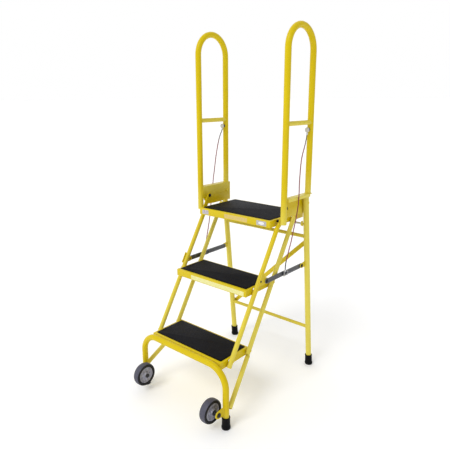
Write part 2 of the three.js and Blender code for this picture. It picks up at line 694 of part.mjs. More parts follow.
// The platform's front pivot has a spacer between the pan and the pressed part of the rail.
function platformPivotBolt() {
  const { y, z } = pivot(2, FRONT_PIVOT_FROM_MAT);
  const head = 5.3;
  const spacer = 6.5;
  const shank = BOLT_RADIUS;
  const headSeat = PAN_HALF_WIDTH - SHEET - GAP;
  const spacerStart = PAN_HALF_WIDTH + GAP;
  const spacerEnd = PRESSED_RAIL_INNER_X - GAP;
  const outerSeat = PLATE_INNER_X;
  const outerEnd = PLATE_INNER_X + SHEET - 0.1;
  const profile = [
    [0, headSeat - 4], [head, headSeat - 4], [head, headSeat], [shank, headSeat],
    [shank, spacerStart], [spacer, spacerStart], [spacer, spacerEnd], [shank, spacerEnd],
    [shank, outerSeat], [head, outerSeat], [head, outerEnd], [0, outerEnd],
  ];
  return turnedOnX(profile, y, z, BOLT_SIDES);
}

// ---------------------------------------------------------------- assembly

const group = new THREE.Group();

function add(name, geometry, material) {
  const mesh = new THREE.Mesh(closedBody(geometry), material);
  mesh.name = name;
  group.add(mesh);
}

// Adds a piece built on the right side and its mirror image on the left.
function addPair(name, geometry, material) {
  add(`right_${name}`, geometry, material);
  add(`left_${name}`, geometry.clone().scale(-1, 1, 1), material);
}

add("front_hoop", frontHoop(), YELLOW);
addPair("front_strut", frontStrut(), YELLOW);
addPair("front_foot", rubberFoot(HOOP_X, HOOP_Y, 0), RUBBER);
addPair("wheel_bracket", wheelPlate(), YELLOW);
addPair("axle_bolt", axleBolt(), BOLT_BLACK);
addPair("tyre", tyre(), TYRE_GREY);
addPair("wheel_hub", wheelHub(), HUB_GREY);

["bottom", "middle"].forEach((name, level) => {
  add(`${name}_tread`, treadPan(level, STEP_MAT_DEPTH, STEP_REAR_MARGIN), YELLOW);
  add(`${name}_mat`, treadMat(level, STEP_MAT_DEPTH), MAT_BLACK);
});
add("platform_tread", treadPan(2, PLATFORM_MAT_DEPTH, PLATFORM_REAR_MARGIN), YELLOW);
add("platform_mat", treadMat(2, PLATFORM_MAT_DEPTH), MAT_BLACK);

addPair("front_rail", frontRail(), YELLOW);
addPair("rear_rail", rearRail(), YELLOW);
addPair("spreader_bracket", spreaderBracket(), YELLOW);

addPair("side_bracket", sideBracket(), YELLOW);
addPair("handrail", handrailLoop(), YELLOW);
addPair("handrail_bar", handrailBar(), YELLOW);
addPair("cord_knob", cordKnob(), BOLT_BLACK);
add("right_pull_cord", pullCord(RIGHT_CORD_ROUTE), CORD_RED);
add("left_pull_cord", pullCord(LEFT_CORD_ROUTE), CORD_RED);

addPair("rear_leg", rearLeg(), YELLOW);
addPair("rear_foot", rubberFoot(SIDE_TUBE_X, LEG_FOOT_Y, LEG_LEAN), RUBBER);
addPair("leg_tab", legTab(), YELLOW);
addPair("spreader_lug", spreaderLug(), YELLOW);
add("upper_crossbar", rearCrossbar(UPPER_BAR_Z), YELLOW);
add("lower_crossbar", rearCrossbar(LOWER_BAR_Z), YELLOW);
add("diagonal_brace", diagonalBrace(), YELLOW);
add("rest_rod", restRod(), ZINC);

addPair("front_link", spreaderLink(LINK_FRONT_Y, LINK_MID_Y, FRONT_LINK_X), LINK_GREY);
addPair("rear_link", spreaderLink(LINK_MID_Y, LINK_REAR_Y, REAR_LINK_X), LINK_GREY);
addPair("spreader_latch", spreaderLatch(), ZINC);

addPair("top_pivot_bolt", topPivotBolt(), BOLT_BLACK);
addPair("leg_pivot_bolt", legPivotBolt(), YELLOW);
addPair("platform_pivot_bolt", platformPivotBolt(), BOLT_BLACK);

export default group;
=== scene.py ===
"""The looks of a folding mobile ladder stand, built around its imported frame.

Metres, +Z up, +X to the climber's right, +Y away from the climber. Sizes come from the frame's nodes
where they can, and from the constants below where they can't.
"""

from math import copysign, cos, pi, radians, sin, sqrt, tan

import bmesh
import bpy
from mathutils import Euler, Matrix, Vector


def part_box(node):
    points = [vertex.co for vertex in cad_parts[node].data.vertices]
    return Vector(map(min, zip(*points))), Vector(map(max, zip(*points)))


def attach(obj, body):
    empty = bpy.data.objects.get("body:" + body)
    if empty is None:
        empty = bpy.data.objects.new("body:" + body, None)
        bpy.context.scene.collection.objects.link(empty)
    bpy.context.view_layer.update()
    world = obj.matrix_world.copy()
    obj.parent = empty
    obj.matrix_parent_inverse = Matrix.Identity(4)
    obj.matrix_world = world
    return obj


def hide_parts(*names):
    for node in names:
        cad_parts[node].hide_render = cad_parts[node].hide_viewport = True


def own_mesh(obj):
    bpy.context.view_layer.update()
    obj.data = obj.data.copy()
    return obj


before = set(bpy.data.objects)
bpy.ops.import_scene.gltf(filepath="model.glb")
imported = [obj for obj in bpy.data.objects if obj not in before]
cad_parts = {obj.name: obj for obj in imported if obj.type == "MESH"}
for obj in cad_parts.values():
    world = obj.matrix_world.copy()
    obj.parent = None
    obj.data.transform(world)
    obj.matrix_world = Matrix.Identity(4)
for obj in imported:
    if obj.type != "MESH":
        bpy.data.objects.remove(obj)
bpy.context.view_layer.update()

SCENE = bpy.context.scene
SIDES = (("right", 1), ("left", -1))
TREADS = ("bottom", "middle", "platform")
TREAD_BODIES = {"bottom": "base", "middle": "middle_step", "platform": "platform"}

# ---- driving dimensions

CAMERA_PLACE = (1.28555, -1.47587, 1.24304)
CAMERA_YAW = 41.05
CAMERA_PITCH = -14.93
CAMERA_ROLL = -0.279
CAMERA_LENS = 38.37
CAMERA_SENSOR = 36

TUBE_SIDES = 36
TUBE_WALL = 0.002
BEND_STEPS = 24
GAP = 0.0003

RAIL_X = 0.206
RAIL_RADIUS = 0.0095
RAIL_WALL = 0.0018
PIVOT_BELOW_TOP = 0.011
FRONT_PIVOT_FROM_MAT = 0.039
REAR_PIVOT_FROM_MAT = 0.1495
RAIL_PIVOT = (0.134, 0.801)
FLAT_END_THICKNESS = 0.006
FLAT_END_WIDTH = 0.024
FLAT_END_START = 0.092
FLAT_END_FULL = 0.068
FLAT_END_REACH = 0.013

HOOP_BEND = 0.082
LEG_LEAN = tan(radians(5.75))
CORD_RADIUS = 0.0021
PAN_SHEET = 0.002
BRACKET_SHEET = 0.002

BRACE_WIDTH = 0.0195
BRACKET_BOLT = (-0.0345, 0.5315)
LATCH_DEPTH = 0.0023
LATCH_EDGES = (-0.0118, 0.0102)
AXLE_RADIUS = 0.006
AXLE_NUT = 0.0092
HUB_HALF = 0.019
HUB_SHARE = 0.72
HUB_RIBS = 9
STRUT_FOOT = Vector((0.2450, -0.2590, 0.0860))
STRUT_HEAD = Vector((0.1990, -0.0892, 0.2226))
WELD_BEAD = 0.0015
WELD_RIPPLE = 0.15
WELD_RIPPLE_STEP = 2.1
WELD_TAPER = 0.35
FLOOR_SIZE = 400
FLOOR_GLOW = 0.13
LABEL_THICKNESS = 0.00035
LABEL_SINK = 0.0001
OVAL_X = 0.152
OVAL_HALF_WIDTH = 0.015
OVAL_HALF_HEIGHT = 0.0062

# How far a bolt head sinks into a tube, how far short of a tube's axis a welded bar ends, and how
# far a lathe's point may be from its axis and still be on it.
SEAT_SINK = 0.0004
BAR_SHORT = 0.008
ON_AXIS = 1e-7

# The widths of rounded edges.
PAN_EDGE = 0.0019
PLATE_EDGE = 0.0009
TAB_EDGE = 0.0006
LINK_EDGE = 0.0007
CLIP_EDGE = 0.0005

# Each fastener is its head's radius and height, then its washer's.
FASTENERS = {
    "tread_bolt": (0.0038, 0.0016, 0.0052, 0.0007),
    "spacer_bolt": (0.0050, 0.0035, 0.0058, 0.0007),
    "top_bolt": (0.0058, 0.0032, 0.0078, 0.0010),
    "top_bolt_inside": (0.0058, 0.0036, 0.0085, 0.0011),
    "leg_bolt": (0.0050, 0.0010, 0.0062, 0.0005),
    "leg_bolt_inside": (0.0060, 0.0034, 0.0078, 0.0010),
    "bracket_bolt": (0.0036, 0.0018, 0.0044, 0.0005),
    "front_rivet": (0.0062, 0.0018, 0.00806, 0.0006),
    "rear_rivet": (0.0062, 0.00252, 0.00837, 0.0006),
    "middle_rivet": (0.0062, 0.00216, 0.0082, 0.0008),
}

# ---- camera


def add_camera():
    camera = bpy.data.objects.new("camera", bpy.data.cameras.new("camera"))
    camera.data.lens = CAMERA_LENS
    camera.data.sensor_width = CAMERA_SENSOR
    camera.data.clip_end = FLOOR_SIZE
    turn = Matrix.Rotation(radians(CAMERA_YAW), 4, "Z")
    tilt = Matrix.Rotation(radians(90 + CAMERA_PITCH), 4, "X")
    roll = Matrix.Rotation(radians(CAMERA_ROLL), 4, "Z")
    camera.matrix_world = Matrix.Translation(CAMERA_PLACE) @ turn @ tilt @ roll
    SCENE.collection.objects.link(camera)
    SCENE.camera = camera


add_camera()

# ---- materials

NOISE_RANGE = (0.3, 0.7)


class Nodes:
    """A node tree with short names for the nodes that are used again and again."""

    def __init__(self, tree):
        self.tree = tree

    def feed(self, node, **inputs):
        """Sets each input, named with _ for a space, to a value or links it to another node's output."""
        for name, value in inputs.items():
            socket = node.inputs[name.replace("_", " ")]
            if isinstance(value, bpy.types.NodeSocket):
                self.tree.links.new(value, socket)
            else:
                socket.default_value = (*value, 1) if socket.type == "RGBA" else value

    def add(self, kind, **inputs):
        node = self.tree.nodes.new("ShaderNode" + kind)
        self.feed(node, **inputs)
        return node

    def spread(self, value, low, high, to_low=0.0, to_high=1.0):
        """The value with low and high moved to to_low and to_high, and nothing beyond them."""
        node = self.add("MapRange", Value=value, From_Min=low, From_Max=high, To_Min=to_low, To_Max=to_high)
        return node.outputs["Result"]


class Finish(Nodes):
    """The nodes of a new material."""

    def __init__(self, name, roughness, metallic=0.0, shine=0.5):
        self.material = bpy.data.materials.new(name)
        self.material.use_nodes = True
        super().__init__(self.material.node_tree)
        self.shader = self.tree.nodes["Principled BSDF"]
        self.feed(self.shader, Roughness=roughness, Metallic=metallic, Specular_IOR_Level=shine)
        self.place = self.add("TexCoord").outputs["Object"]

    def noise(self, scale, detail=4.0, stretch=(1, 1, 1)):
        placed = self.add("Mapping", Vector=self.place, Scale=stretch).outputs["Vector"]
        return self.add("TexNoise", Vector=placed, Scale=scale, Detail=detail).outputs["Fac"]

    def pointiness(self):
        return self.add("NewGeometry").outputs["Pointiness"]

    def height(self):
        return self.add("SeparateXYZ", Vector=self.place).outputs["Z"]

    def mix(self, amount, first, second):
        node = self.add("Mix")
        node.data_type = "RGBA"
        self.feed(node, Factor=amount, A=first, B=second)
        return node.outputs["Result"]

    def color(self, value):
        self.feed(self.shader, Base_Color=value)

    def uneven(self, low, high, scale, detail=4.0):
        """Roughness from low to high, in patches."""
        self.feed(self.shader, Roughness=self.spread(self.noise(scale, detail), *NOISE_RANGE, low, high))

    def grain(self, strength, distance, scale, detail=4.0):
        self.bump(self.noise(scale, detail), strength, distance)

    def bump(self, value, strength, distance):
        """Adds a bump to those that the shader has."""
        node = self.add("Bump", Height=value, Strength=strength, Distance=distance)
        earlier = self.shader.inputs["Normal"]
        if earlier.is_linked:
            self.feed(node, Normal=earlier.links[0].from_socket)
        self.feed(self.shader, Normal=node.outputs["Normal"])


def yellow_paint():
    """Glossy powder coat: faint orange peel, uneven tone, and edges painted paler as a highlight."""
    nodes = Finish("yellow_paint", 0.3, shine=0.15)
    tone = nodes.mix(nodes.spread(nodes.noise(5), 0.35, 0.65), (0.69, 0.525, 0.003), (0.665, 0.495, 0.003))
    scuff = nodes.spread(nodes.noise(28, 6), 0.66, 0.76, 0, 0.22)
    scuffed = nodes.mix(scuff, tone, (0.64, 0.49, 0.02))
    # Convex edges are painted pale lemon as a highlight, in place of the light they would catch.
    painted_edge_highlight = nodes.spread(nodes.pointiness(), 0.53, 0.62, 0, 0.5)
    nodes.color(nodes.mix(painted_edge_highlight, scuffed, (0.85, 0.79, 0.20)))
    nodes.uneven(0.2, 0.42, 30, 6)
    nodes.grain(0.12, 0.0003, 650, 2)
    nodes.feed(nodes.shader, Coat_Weight=0.04, Coat_Roughness=0.1)
    return nodes


def weld_paint():
    """The same paint over a rippled weld bead."""
    nodes = Finish("weld_paint", 0.35)
    nodes.color(nodes.mix(nodes.noise(120), (0.70, 0.56, 0.008), (0.58, 0.46, 0.008)))
    nodes.grain(0.5, 0.0006, 900, 3)
    return nodes


def mat_rubber():
    """Charcoal anti-slip mat: pebbled face with fine grit and worn, greyer patches."""
    nodes = Finish("mat_rubber", 0.62, shine=0.12)
    patches = nodes.spread(nodes.noise(7, 6), 0.35, 0.7)
    grey = nodes.mix(patches, (0.0045, 0.0046, 0.007), (0.008, 0.0082, 0.012))
    speck = nodes.spread(nodes.noise(1400, 2), 0.55, 0.75, 0, 0.6)
    nodes.color(nodes.mix(speck, grey, (0.02, 0.02, 0.028)))
    nodes.uneven(0.5, 0.75, 300)
    pebbles = nodes.add("TexVoronoi", Vector=nodes.place, Scale=420)
    nodes.bump(pebbles.outputs["Distance"], 0.5, 0.0006)
    nodes.grain(0.35, 0.0003, 1600, 3)
    return nodes


def mat_edge():
    """The mat's smooth moulded edge strip."""
    nodes = Finish("mat_edge", 0.45, shine=0.1)
    nodes.color(nodes.mix(nodes.noise(60), (0.002, 0.002, 0.0025), (0.004, 0.004, 0.005)))
    nodes.grain(0.15, 0.0002, 900)
    return nodes


def foot_rubber():
    """Black moulded rubber with a dusty bloom towards the floor."""
    nodes = Finish("boot_rubber", 0.42, shine=0.07)
    base = nodes.mix(nodes.noise(90, 6), (0.0025, 0.0025, 0.003), (0.006, 0.006, 0.007))
    dust = nodes.spread(nodes.height(), 0.0, 0.012, 0.25, 0.0)
    nodes.color(nodes.mix(dust, base, (0.03, 0.029, 0.027)))
    nodes.uneven(0.3, 0.55, 200)
    nodes.grain(0.25, 0.0003, 1100, 3)
    return nodes


def tyre_rubber():
    """Slate-grey solid tyre, scuffed where it rolls."""
    nodes = Finish("tyre_tread", 0.55, shine=0.3)
    base = nodes.mix(nodes.noise(50, 8), (0.055, 0.055, 0.08), (0.10, 0.10, 0.135))
    nodes.color(nodes.mix(nodes.spread(nodes.noise(220, 6), 0.6, 0.75), base, (0.16, 0.16, 0.19)))
    nodes.uneven(0.42, 0.66, 120)
    nodes.grain(0.3, 0.0005, 700, 5)
    return nodes


def tyre_wall():
    """The tyre's black shoulder and side wall."""
    nodes = Finish("tyre_wall", 0.45, shine=0.2)
    nodes.color(nodes.mix(nodes.noise(80, 6), (0.003, 0.003, 0.004), (0.008, 0.008, 0.01)))
    nodes.grain(0.2, 0.0003, 900, 3)
    return nodes


def hub_plastic():
    """Grey moulded hub with streaks that run across its face."""
    nodes = Finish("hub_plastic", 0.38, 0.25)
    streak = nodes.spread(nodes.noise(260, 6, (0.2, 1, 0.12)), 0.35, 0.7)
    base = nodes.mix(streak, (0.21, 0.21, 0.265), (0.52, 0.52, 0.60))
    nodes.color(nodes.mix(nodes.spread(nodes.noise(45, 5), 0.5, 0.7, 0, 0.5), base, (0.13, 0.13, 0.16)))
    nodes.uneven(0.28, 0.5, 300)
    nodes.grain(0.2, 0.0003, 500, 4)
    return nodes


def link_steel():
    """Dark grey spreader finish with long rolling marks and bare edges."""
    nodes = Finish("link_steel", 0.4, 0.45)
    streak = nodes.spread(nodes.noise(160, 5, (1, 0.06, 1)), 0.3, 0.7)
    base = nodes.mix(streak, (0.05, 0.053, 0.06), (0.095, 0.1, 0.11))
    nodes.color(nodes.mix(nodes.spread(nodes.pointiness(), 0.52, 0.6, 0, 0.7), base, (0.3, 0.31, 0.33)))
    nodes.uneven(0.3, 0.52, 90)
    nodes.grain(0.15, 0.0002, 800, 3)
    return nodes


def zinc_steel():
    """Bright zinc plate with a cloudy bloom."""
    nodes = Finish("zinc_steel", 0.3, 0.9)
    nodes.color(nodes.mix(nodes.noise(140, 6), (0.52, 0.53, 0.56), (0.72, 0.73, 0.75)))
    nodes.uneven(0.22, 0.45, 260, 5)
    nodes.grain(0.08, 0.0002, 1200, 2)
    return nodes


def black_bolts():
    """Black oxide with bare steel on the corners of the heads."""
    nodes = Finish("black_bolts", 0.4, 0.6, shine=0.3)
    base = nodes.mix(nodes.noise(300, 4), (0.006, 0.006, 0.007), (0.016, 0.016, 0.018))
    nodes.color(nodes.mix(nodes.spread(nodes.pointiness(), 0.55, 0.68, 0, 0.5), base, (0.12, 0.12, 0.125)))
    nodes.uneven(0.3, 0.5, 500)
    nodes.grain(0.1, 0.0002, 1500, 2)
    return nodes


def knob_plastic():
    """Pale grey moulded plastic."""
    nodes = Finish("knob_plastic", 0.45)
    nodes.color(nodes.mix(nodes.noise(150, 4), (0.52, 0.51, 0.46), (0.66, 0.65, 0.60)))
    nodes.grain(0.12, 0.0002, 900, 2)
    return nodes


def cord_fibre():
    """Braided cord: dark red, with a grey whipping below the knob and a black sleeve at the latch."""
    nodes = Finish("cord_fibre", 0.7, shine=0.2)
    red = nodes.mix(nodes.noise(900, 2, (1, 1, 0.4)), (0.22, 0.035, 0.045), (0.36, 0.085, 0.10))
    whipped = nodes.spread(nodes.height(), 1.03, 1.07)
    sleeve = nodes.spread(nodes.height(), 0.590, 0.582)
    upper = nodes.mix(whipped, red, (0.13, 0.13, 0.115))
    nodes.color(nodes.mix(sleeve, upper, (0.004, 0.004, 0.006)))
    wave = nodes.add("TexWave", Vector=nodes.place, Scale=380, Distortion=1.5)
    wave.bands_direction = "DIAGONAL"
    nodes.bump(wave.outputs["Fac"], 0.6, 0.0004)
    return nodes


def label_film(name, color, speck):
    """A blank film label with a faint printed mottle."""
    nodes = Finish(name, 0.35)
    nodes.color(nodes.mix(nodes.spread(nodes.noise(160, 5), 0.4, 0.65), color, speck))
    nodes.uneven(0.25, 0.45, 90)
    nodes.grain(0.08, 0.0002, 220, 2)
    return nodes


LABEL_COLORS = {
    "label_cream": ((0.80, 0.76, 0.27), (0.86, 0.83, 0.40)),
    "label_beige": ((0.74, 0.56, 0.12), (0.62, 0.47, 0.20)),
    "label_mauve": ((0.42, 0.37, 0.42), (0.62, 0.60, 0.62)),
    "label_silver": ((0.42, 0.41, 0.42), (0.55, 0.54, 0.55)),
    "label_white": ((0.86, 0.86, 0.88), (0.78, 0.78, 0.80)),
}
FINISH = {make.__name__: make().material for make in (
    yellow_paint, weld_paint, mat_rubber, mat_edge, foot_rubber, tyre_rubber, tyre_wall, hub_plastic,
    link_steel, zinc_steel, black_bolts, knob_plastic, cord_fibre,
)}
for name, colors in LABEL_COLORS.items():
    FINISH[name] = label_film(name, *colors).material

# ---- mesh helpers


def make_piece(name, shell, body, slot, finish=None, replaces=None, sharp=38):
    """A piece from (vertices, faces), smooth except across its sharp edges, that rides on a body."""
    vertices, faces = shell
    mesh = bpy.data.meshes.new(name)
    mesh.from_pydata([tuple(v) for v in vertices], [], faces)
    return finish_piece(name, mesh, body, slot, finish, replaces, sharp)


def finish_piece(name, mesh, body, slot, finish=None, replaces=None, sharp=38):
    shape = bmesh.new()
    shape.from_mesh(mesh)
    bmesh.ops.recalc_face_normals(shape, faces=shape.faces)
    shape.to_mesh(mesh)
    shape.free()
    mesh.polygons.foreach_set("use_smooth", [True] * len(mesh.polygons))
    mesh.set_sharp_from_angle(angle=radians(sharp))
    mesh.materials.append(FINISH[finish or slot])
    made = bpy.data.objects.new(name, mesh)
    SCENE.collection.objects.link(made)
    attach(made, body)
    if replaces:
        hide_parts(replaces)
    return made


def painted(name, shell, body, node):
    """A yellow piece in place of a CAD node."""
    make_piece(name, shell, body, "yellow_paint", replaces=node)


def weld_piece(name, body, *beads):
    """Weld beads as one painted piece."""
    make_piece(name, merge(*beads), body, "yellow_paint", "weld_paint")


def merge(*shells):
    """Several closed shells as one."""
    vertices, faces = [], []
    for shell_vertices, shell_faces in shells:
        start = len(vertices)
        vertices.extend(shell_vertices)
        faces.extend([tuple(start + i for i in face) for face in shell_faces])
    return vertices, faces


def mirrored(shell, sign):
    vertices, faces = shell
    return [Vector((sign * v[0], v[1], v[2])) for v in vertices], faces


def path_frames(points, closed=False):
    """Each point of a path with two directions across it, carried along without twist."""
    count = len(points)
    tangents = []
    for i in range(count):
        before = points[i - 1] if i or closed else points[0]
        after = points[(i + 1) % count] if i + 1 < count or closed else points[-1]
        tangents.append((after - before).normalized())
    helper = Vector((1, 0, 0)) if abs(tangents[0].x) < 0.8 else Vector((0, 1, 0))
    across = tangents[0].cross(helper).normalized()
    frames = []
    for point, tangent in zip(points, tangents):
        across = (across - tangent * across.dot(tangent)).normalized()
        frames.append((point, across, tangent.cross(across)))
    return frames


def loft(rings, closed=False):
    """Skins a list of equal rings. An open loft gets flat ends."""
    vertices = [v for ring in rings for v in ring]
    width = len(rings[0])
    faces = []
    last = len(rings) if closed else len(rings) - 1
    for r in range(last):
        low = r * width
        high = ((r + 1) % len(rings)) * width
        for i in range(width):
            j = (i + 1) % width
            faces.append((low + i, low + j, high + j, high + i))
    if not closed:
        faces.append(tuple(range(width - 1, -1, -1)))
        top = (len(rings) - 1) * width
        faces.append(tuple(range(top, top + width)))
    return vertices, faces


def turns(count):
    """The angles that divide a full turn into count equal parts."""
    return [2 * pi * i / count for i in range(count)]


def ring_at(frame_at, radius, sides=TUBE_SIDES):
    centre, first, second = frame_at
    return [centre + first * (radius * cos(a)) + second * (radius * sin(a)) for a in turns(sides)]


def solid_rod(points, radius, sides=TUBE_SIDES):
    return loft([ring_at(f, radius, sides) for f in path_frames(points)])


def hollow_tube(points, radius, wall, sides=TUBE_SIDES):
    """A tube with open ends: out along the outside, back along the bore."""
    frames = path_frames(points)
    outside = [ring_at(f, radius, sides) for f in frames]
    inside = [ring_at(f, radius - wall, sides) for f in reversed(frames)]
    return loft(outside + inside, closed=True)


def lathe(profile, centre, axis="X", sides=48):
    """A turned shell from [radius, along] points that start and end on the axis, or that close."""
    closed = profile[0] == profile[-1]
    points = profile[:-1] if closed else profile
    turn = {"X": Euler((0, pi / 2, 0)), "Y": Euler((-pi / 2, 0, 0)), "Z": Euler((0, 0, 0))}[axis]
    rotation = turn.to_matrix()
    vertices, rows = [], []
    for radius, along in points:
        row = []
        for angle in turns(1 if radius < ON_AXIS else sides):
            local = Vector((radius * cos(angle), radius * sin(angle), along))
            row.append(len(vertices))
            vertices.append(rotation @ local + Vector(centre))
        rows.append(row)
    faces = []
    pairs = zip(rows, rows[1:] + rows[:1]) if closed else zip(rows, rows[1:])
    for low, high in pairs:
        for i in range(sides):
            j = (i + 1) % sides
            corners = [low[i % len(low)], low[j % len(low)], high[j % len(high)], high[i % len(high)]]
            kept = list(dict.fromkeys(corners))
            if len(kept) > 2:
                faces.append(tuple(kept))
    return vertices, faces


def rounded(corners, radius, steps=4):
    """A turned profile with its inner corners rounded."""
    out = [corners[0]]
    for before, corner, after in zip(corners, corners[1:], corners[2:]):
        a, b, c = Vector(before), Vector(corner), Vector(after)
        reach = min(radius, (a - b).length / 2.2, (c - b).length / 2.2)
        start = b + (a - b).normalized() * reach
        end = b + (c - b).normalized() * reach
        for i in range(steps + 1):
            t = i / steps
            out.append(tuple((1 - t) ** 2 * start + 2 * t * (1 - t) * b + t * t * end))
    out.append(corners[-1])
    return out


def softened(node, name, body, width, segments=2, slot="yellow_paint"):
    """A copy of a CAD node with its edges rounded, in place of that node."""
    shape = bmesh.new()
    shape.from_mesh(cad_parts[node].data)
    bmesh.ops.remove_doubles(shape, verts=shape.verts, dist=1e-6)
    bmesh.ops.dissolve_limit(shape, angle_limit=radians(1), verts=shape.verts, edges=shape.edges)
    edges = [e for e in shape.edges if e.is_manifold and e.calc_face_angle(0) > radians(50)]
    bmesh.ops.bevel(
        shape, geom=edges, offset=width, offset_type="OFFSET", segments=segments, profile=0.5,
        affect="EDGES", clamp_overlap=True,
    )
    bmesh.ops.triangulate(shape, faces=[f for f in shape.faces if len(f.verts) > 4])
    mesh = bpy.data.meshes.new(name)
    shape.to_mesh(mesh)
    shape.free()
    finish_piece(name, mesh, body, slot, replaces=node, sharp=30)


def arc_points(centre, radius, start, end, steps, place):
    """Points on an arc. place turns the arc's two coordinates into a point in space."""
    points = []
    for i in range(steps + 1):
        angle = radians(start + (end - start) * i / steps)
        points.append(place(centre[0] + radius * cos(angle), centre[1] + radius * sin(angle)))
    return points


def weld_bead(centre, along, post_axis, bar_radius, aside=0.0):
    """The bead round a bar where it meets one of the thick tubes. along points from the tube into the
    bar, and aside is how far the bar's axis passes beside the tube's."""
    along = Vector(along).normalized()
    post_axis = Vector(post_axis).normalized()
    across = along.cross(post_axis).normalized()
    upright = across.cross(along).normalized()
    ring = []
    for angle in turns(40):
        v = aside + bar_radius * sin(angle)
        depth = sqrt(max(TUBE_RADIUS**2 - v * v, 0))
        ring.append(Vector(centre) + upright * (bar_radius * cos(angle)) + across * v + along * depth)
    return rippled(ring, closed=True)


def rippled(points, closed=False):
    """A weld bead along points, with ripples, and tapered where it has ends."""
    frames = path_frames(points, closed)
    rings = []
    for i, frame_at in enumerate(frames):
        ends = 1.0 if closed else sin(pi * (i + 0.6) / (len(frames) + 0.2)) ** WELD_TAPER
        size = WELD_BEAD * ends * (1 + WELD_RIPPLE * sin(WELD_RIPPLE_STEP * i))
        rings.append(ring_at(frame_at, size, 8))
    return loft(rings, closed)


def weld_line(start, end, steps=24):
    start, end = Vector(start), Vector(end)
    return rippled([start.lerp(end, i / steps) for i in range(steps + 1)])


def turned(profile, seat, facing, sides):
    """A shell turned about X from a profile that stands up from its seat and faces +X or -X."""
    return lathe([(radius, along * facing) for radius, along in profile], seat, "X", sides)


def hex_head(seat, facing, across, height):
    """A hexagon head or nut with chamfered corners."""
    profile = [(0, 0), (across, 0), (across, height * 0.82), (across * 0.86, height), (0, height)]
    return turned(profile, seat, facing, 6)


def washer(seat, facing, radius, height):
    corners = [(0, 0), (radius, 0), (radius, height), (0, height)]
    return turned(rounded(corners, height * 0.4, 2), seat, facing, 32)


def dome_head(seat, facing, radius, height):
    steps = 5
    angles = [0.5 * pi * i / steps for i in range(steps)]
    curve = [(radius * cos(a), height * sin(a)) for a in angles]
    return turned([(0, 0), *curve, (0, height)], seat, facing, 24)


def bolt_head(seat, facing, size):
    """A hexagon head on a washer."""
    head, height, washer_radius, washer_height = FASTENERS[size]
    return merge(
        washer(seat, facing, washer_radius, washer_height),
        hex_head(beside(seat, facing * washer_height), facing, head, height),
    )


def domed_bolt(seat, facing, size):
    """A hexagon head with a low dome on it."""
    head, height, _, washer_height = FASTENERS[size]
    top = beside(seat, facing * (washer_height + height))
    return merge(bolt_head(seat, facing, size), dome_head(top, facing, head * 0.55, height * 0.25))


def rivet(seat, facing, size):
    head, height, washer_radius, washer_height = FASTENERS[size]
    return merge(
        washer(seat, facing, washer_radius, washer_height),
        dome_head(beside(seat, facing * washer_height), facing, head, height),
    )


def beside(point, across):
    """The point moved across the stand, along X."""
    return (point[0] + across, point[1], point[2])


def rounded_outline(low, high, corner, steps, place):
    """A ring round the rectangle between two points of a plane, with its corners rounded."""
    left, near = low[0] + corner, low[1] + corner
    right, far = high[0] - corner, high[1] - corner
    points = []
    for x, y, start in ((right, near, -90), (right, far, 0), (left, far, 90), (left, near, 180)):
        points.extend(arc_points((x, y), corner, start, start + 90, steps, place))
    return points


# ---- places from the frame

MATS = [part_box(f"{name}_mat") for name in TREADS]
STEP_RISE = MATS[1][1].z - MATS[0][1].z
STEP_RUN = MATS[1][0].y - MATS[0][0].y
RAIL_LEAN = STEP_RUN / STEP_RISE
RAIL_ALONG = Vector((0, RAIL_LEAN, 1)).normalized()
RAIL_ACROSS = Vector((0, 1, -RAIL_LEAN)).normalized()

HANDRAIL_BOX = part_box("right_handrail")
TUBE_RADIUS = (HANDRAIL_BOX[1].x - HANDRAIL_BOX[0].x) / 2
SIDE_X = (HANDRAIL_BOX[1].x + HANDRAIL_BOX[0].x) / 2
HANDRAIL_FRONT_Y = HANDRAIL_BOX[0].y + TUBE_RADIUS
HANDRAIL_REAR_Y = HANDRAIL_BOX[1].y - TUBE_RADIUS
BRACKET_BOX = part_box("right_side_bracket")
PLATE_X = BRACKET_BOX[0].x

LEG_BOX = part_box("right_rear_leg")
LEG_FOOT_Y = LEG_BOX[1].y - TUBE_RADIUS + LEG_BOX[0].z * LEG_LEAN
LEG_UP = Vector((0, -LEG_LEAN, 1)).normalized()
LEG_BACK = Vector((0, 1, LEG_LEAN)).normalized()


def middle_of(node):
    low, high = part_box(node)
    return (low + high) / 2


def level_bar(node):
    """The height of a level bar's axis, and its radius."""
    low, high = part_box(node)
    return (low.z + high.z) / 2, (high.z - low.z) / 2


def outer_face(node):
    """How far the node reaches from the middle of the stand."""
    return max(abs(corner.x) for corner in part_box(node))


def pivot(level, from_mat):
    low, high = MATS[level]
    return low.y + from_mat, high.z - PIVOT_BELOW_TOP


def rail_point(from_mat, z):
    y_top, z_top = pivot(2, from_mat)
    return Vector((RAIL_X, y_top + (z - z_top) * RAIL_LEAN, z))


def leg_point(z):
    return Vector((SIDE_X, LEG_FOOT_Y - z * LEG_LEAN, z))


# ---- pull cords

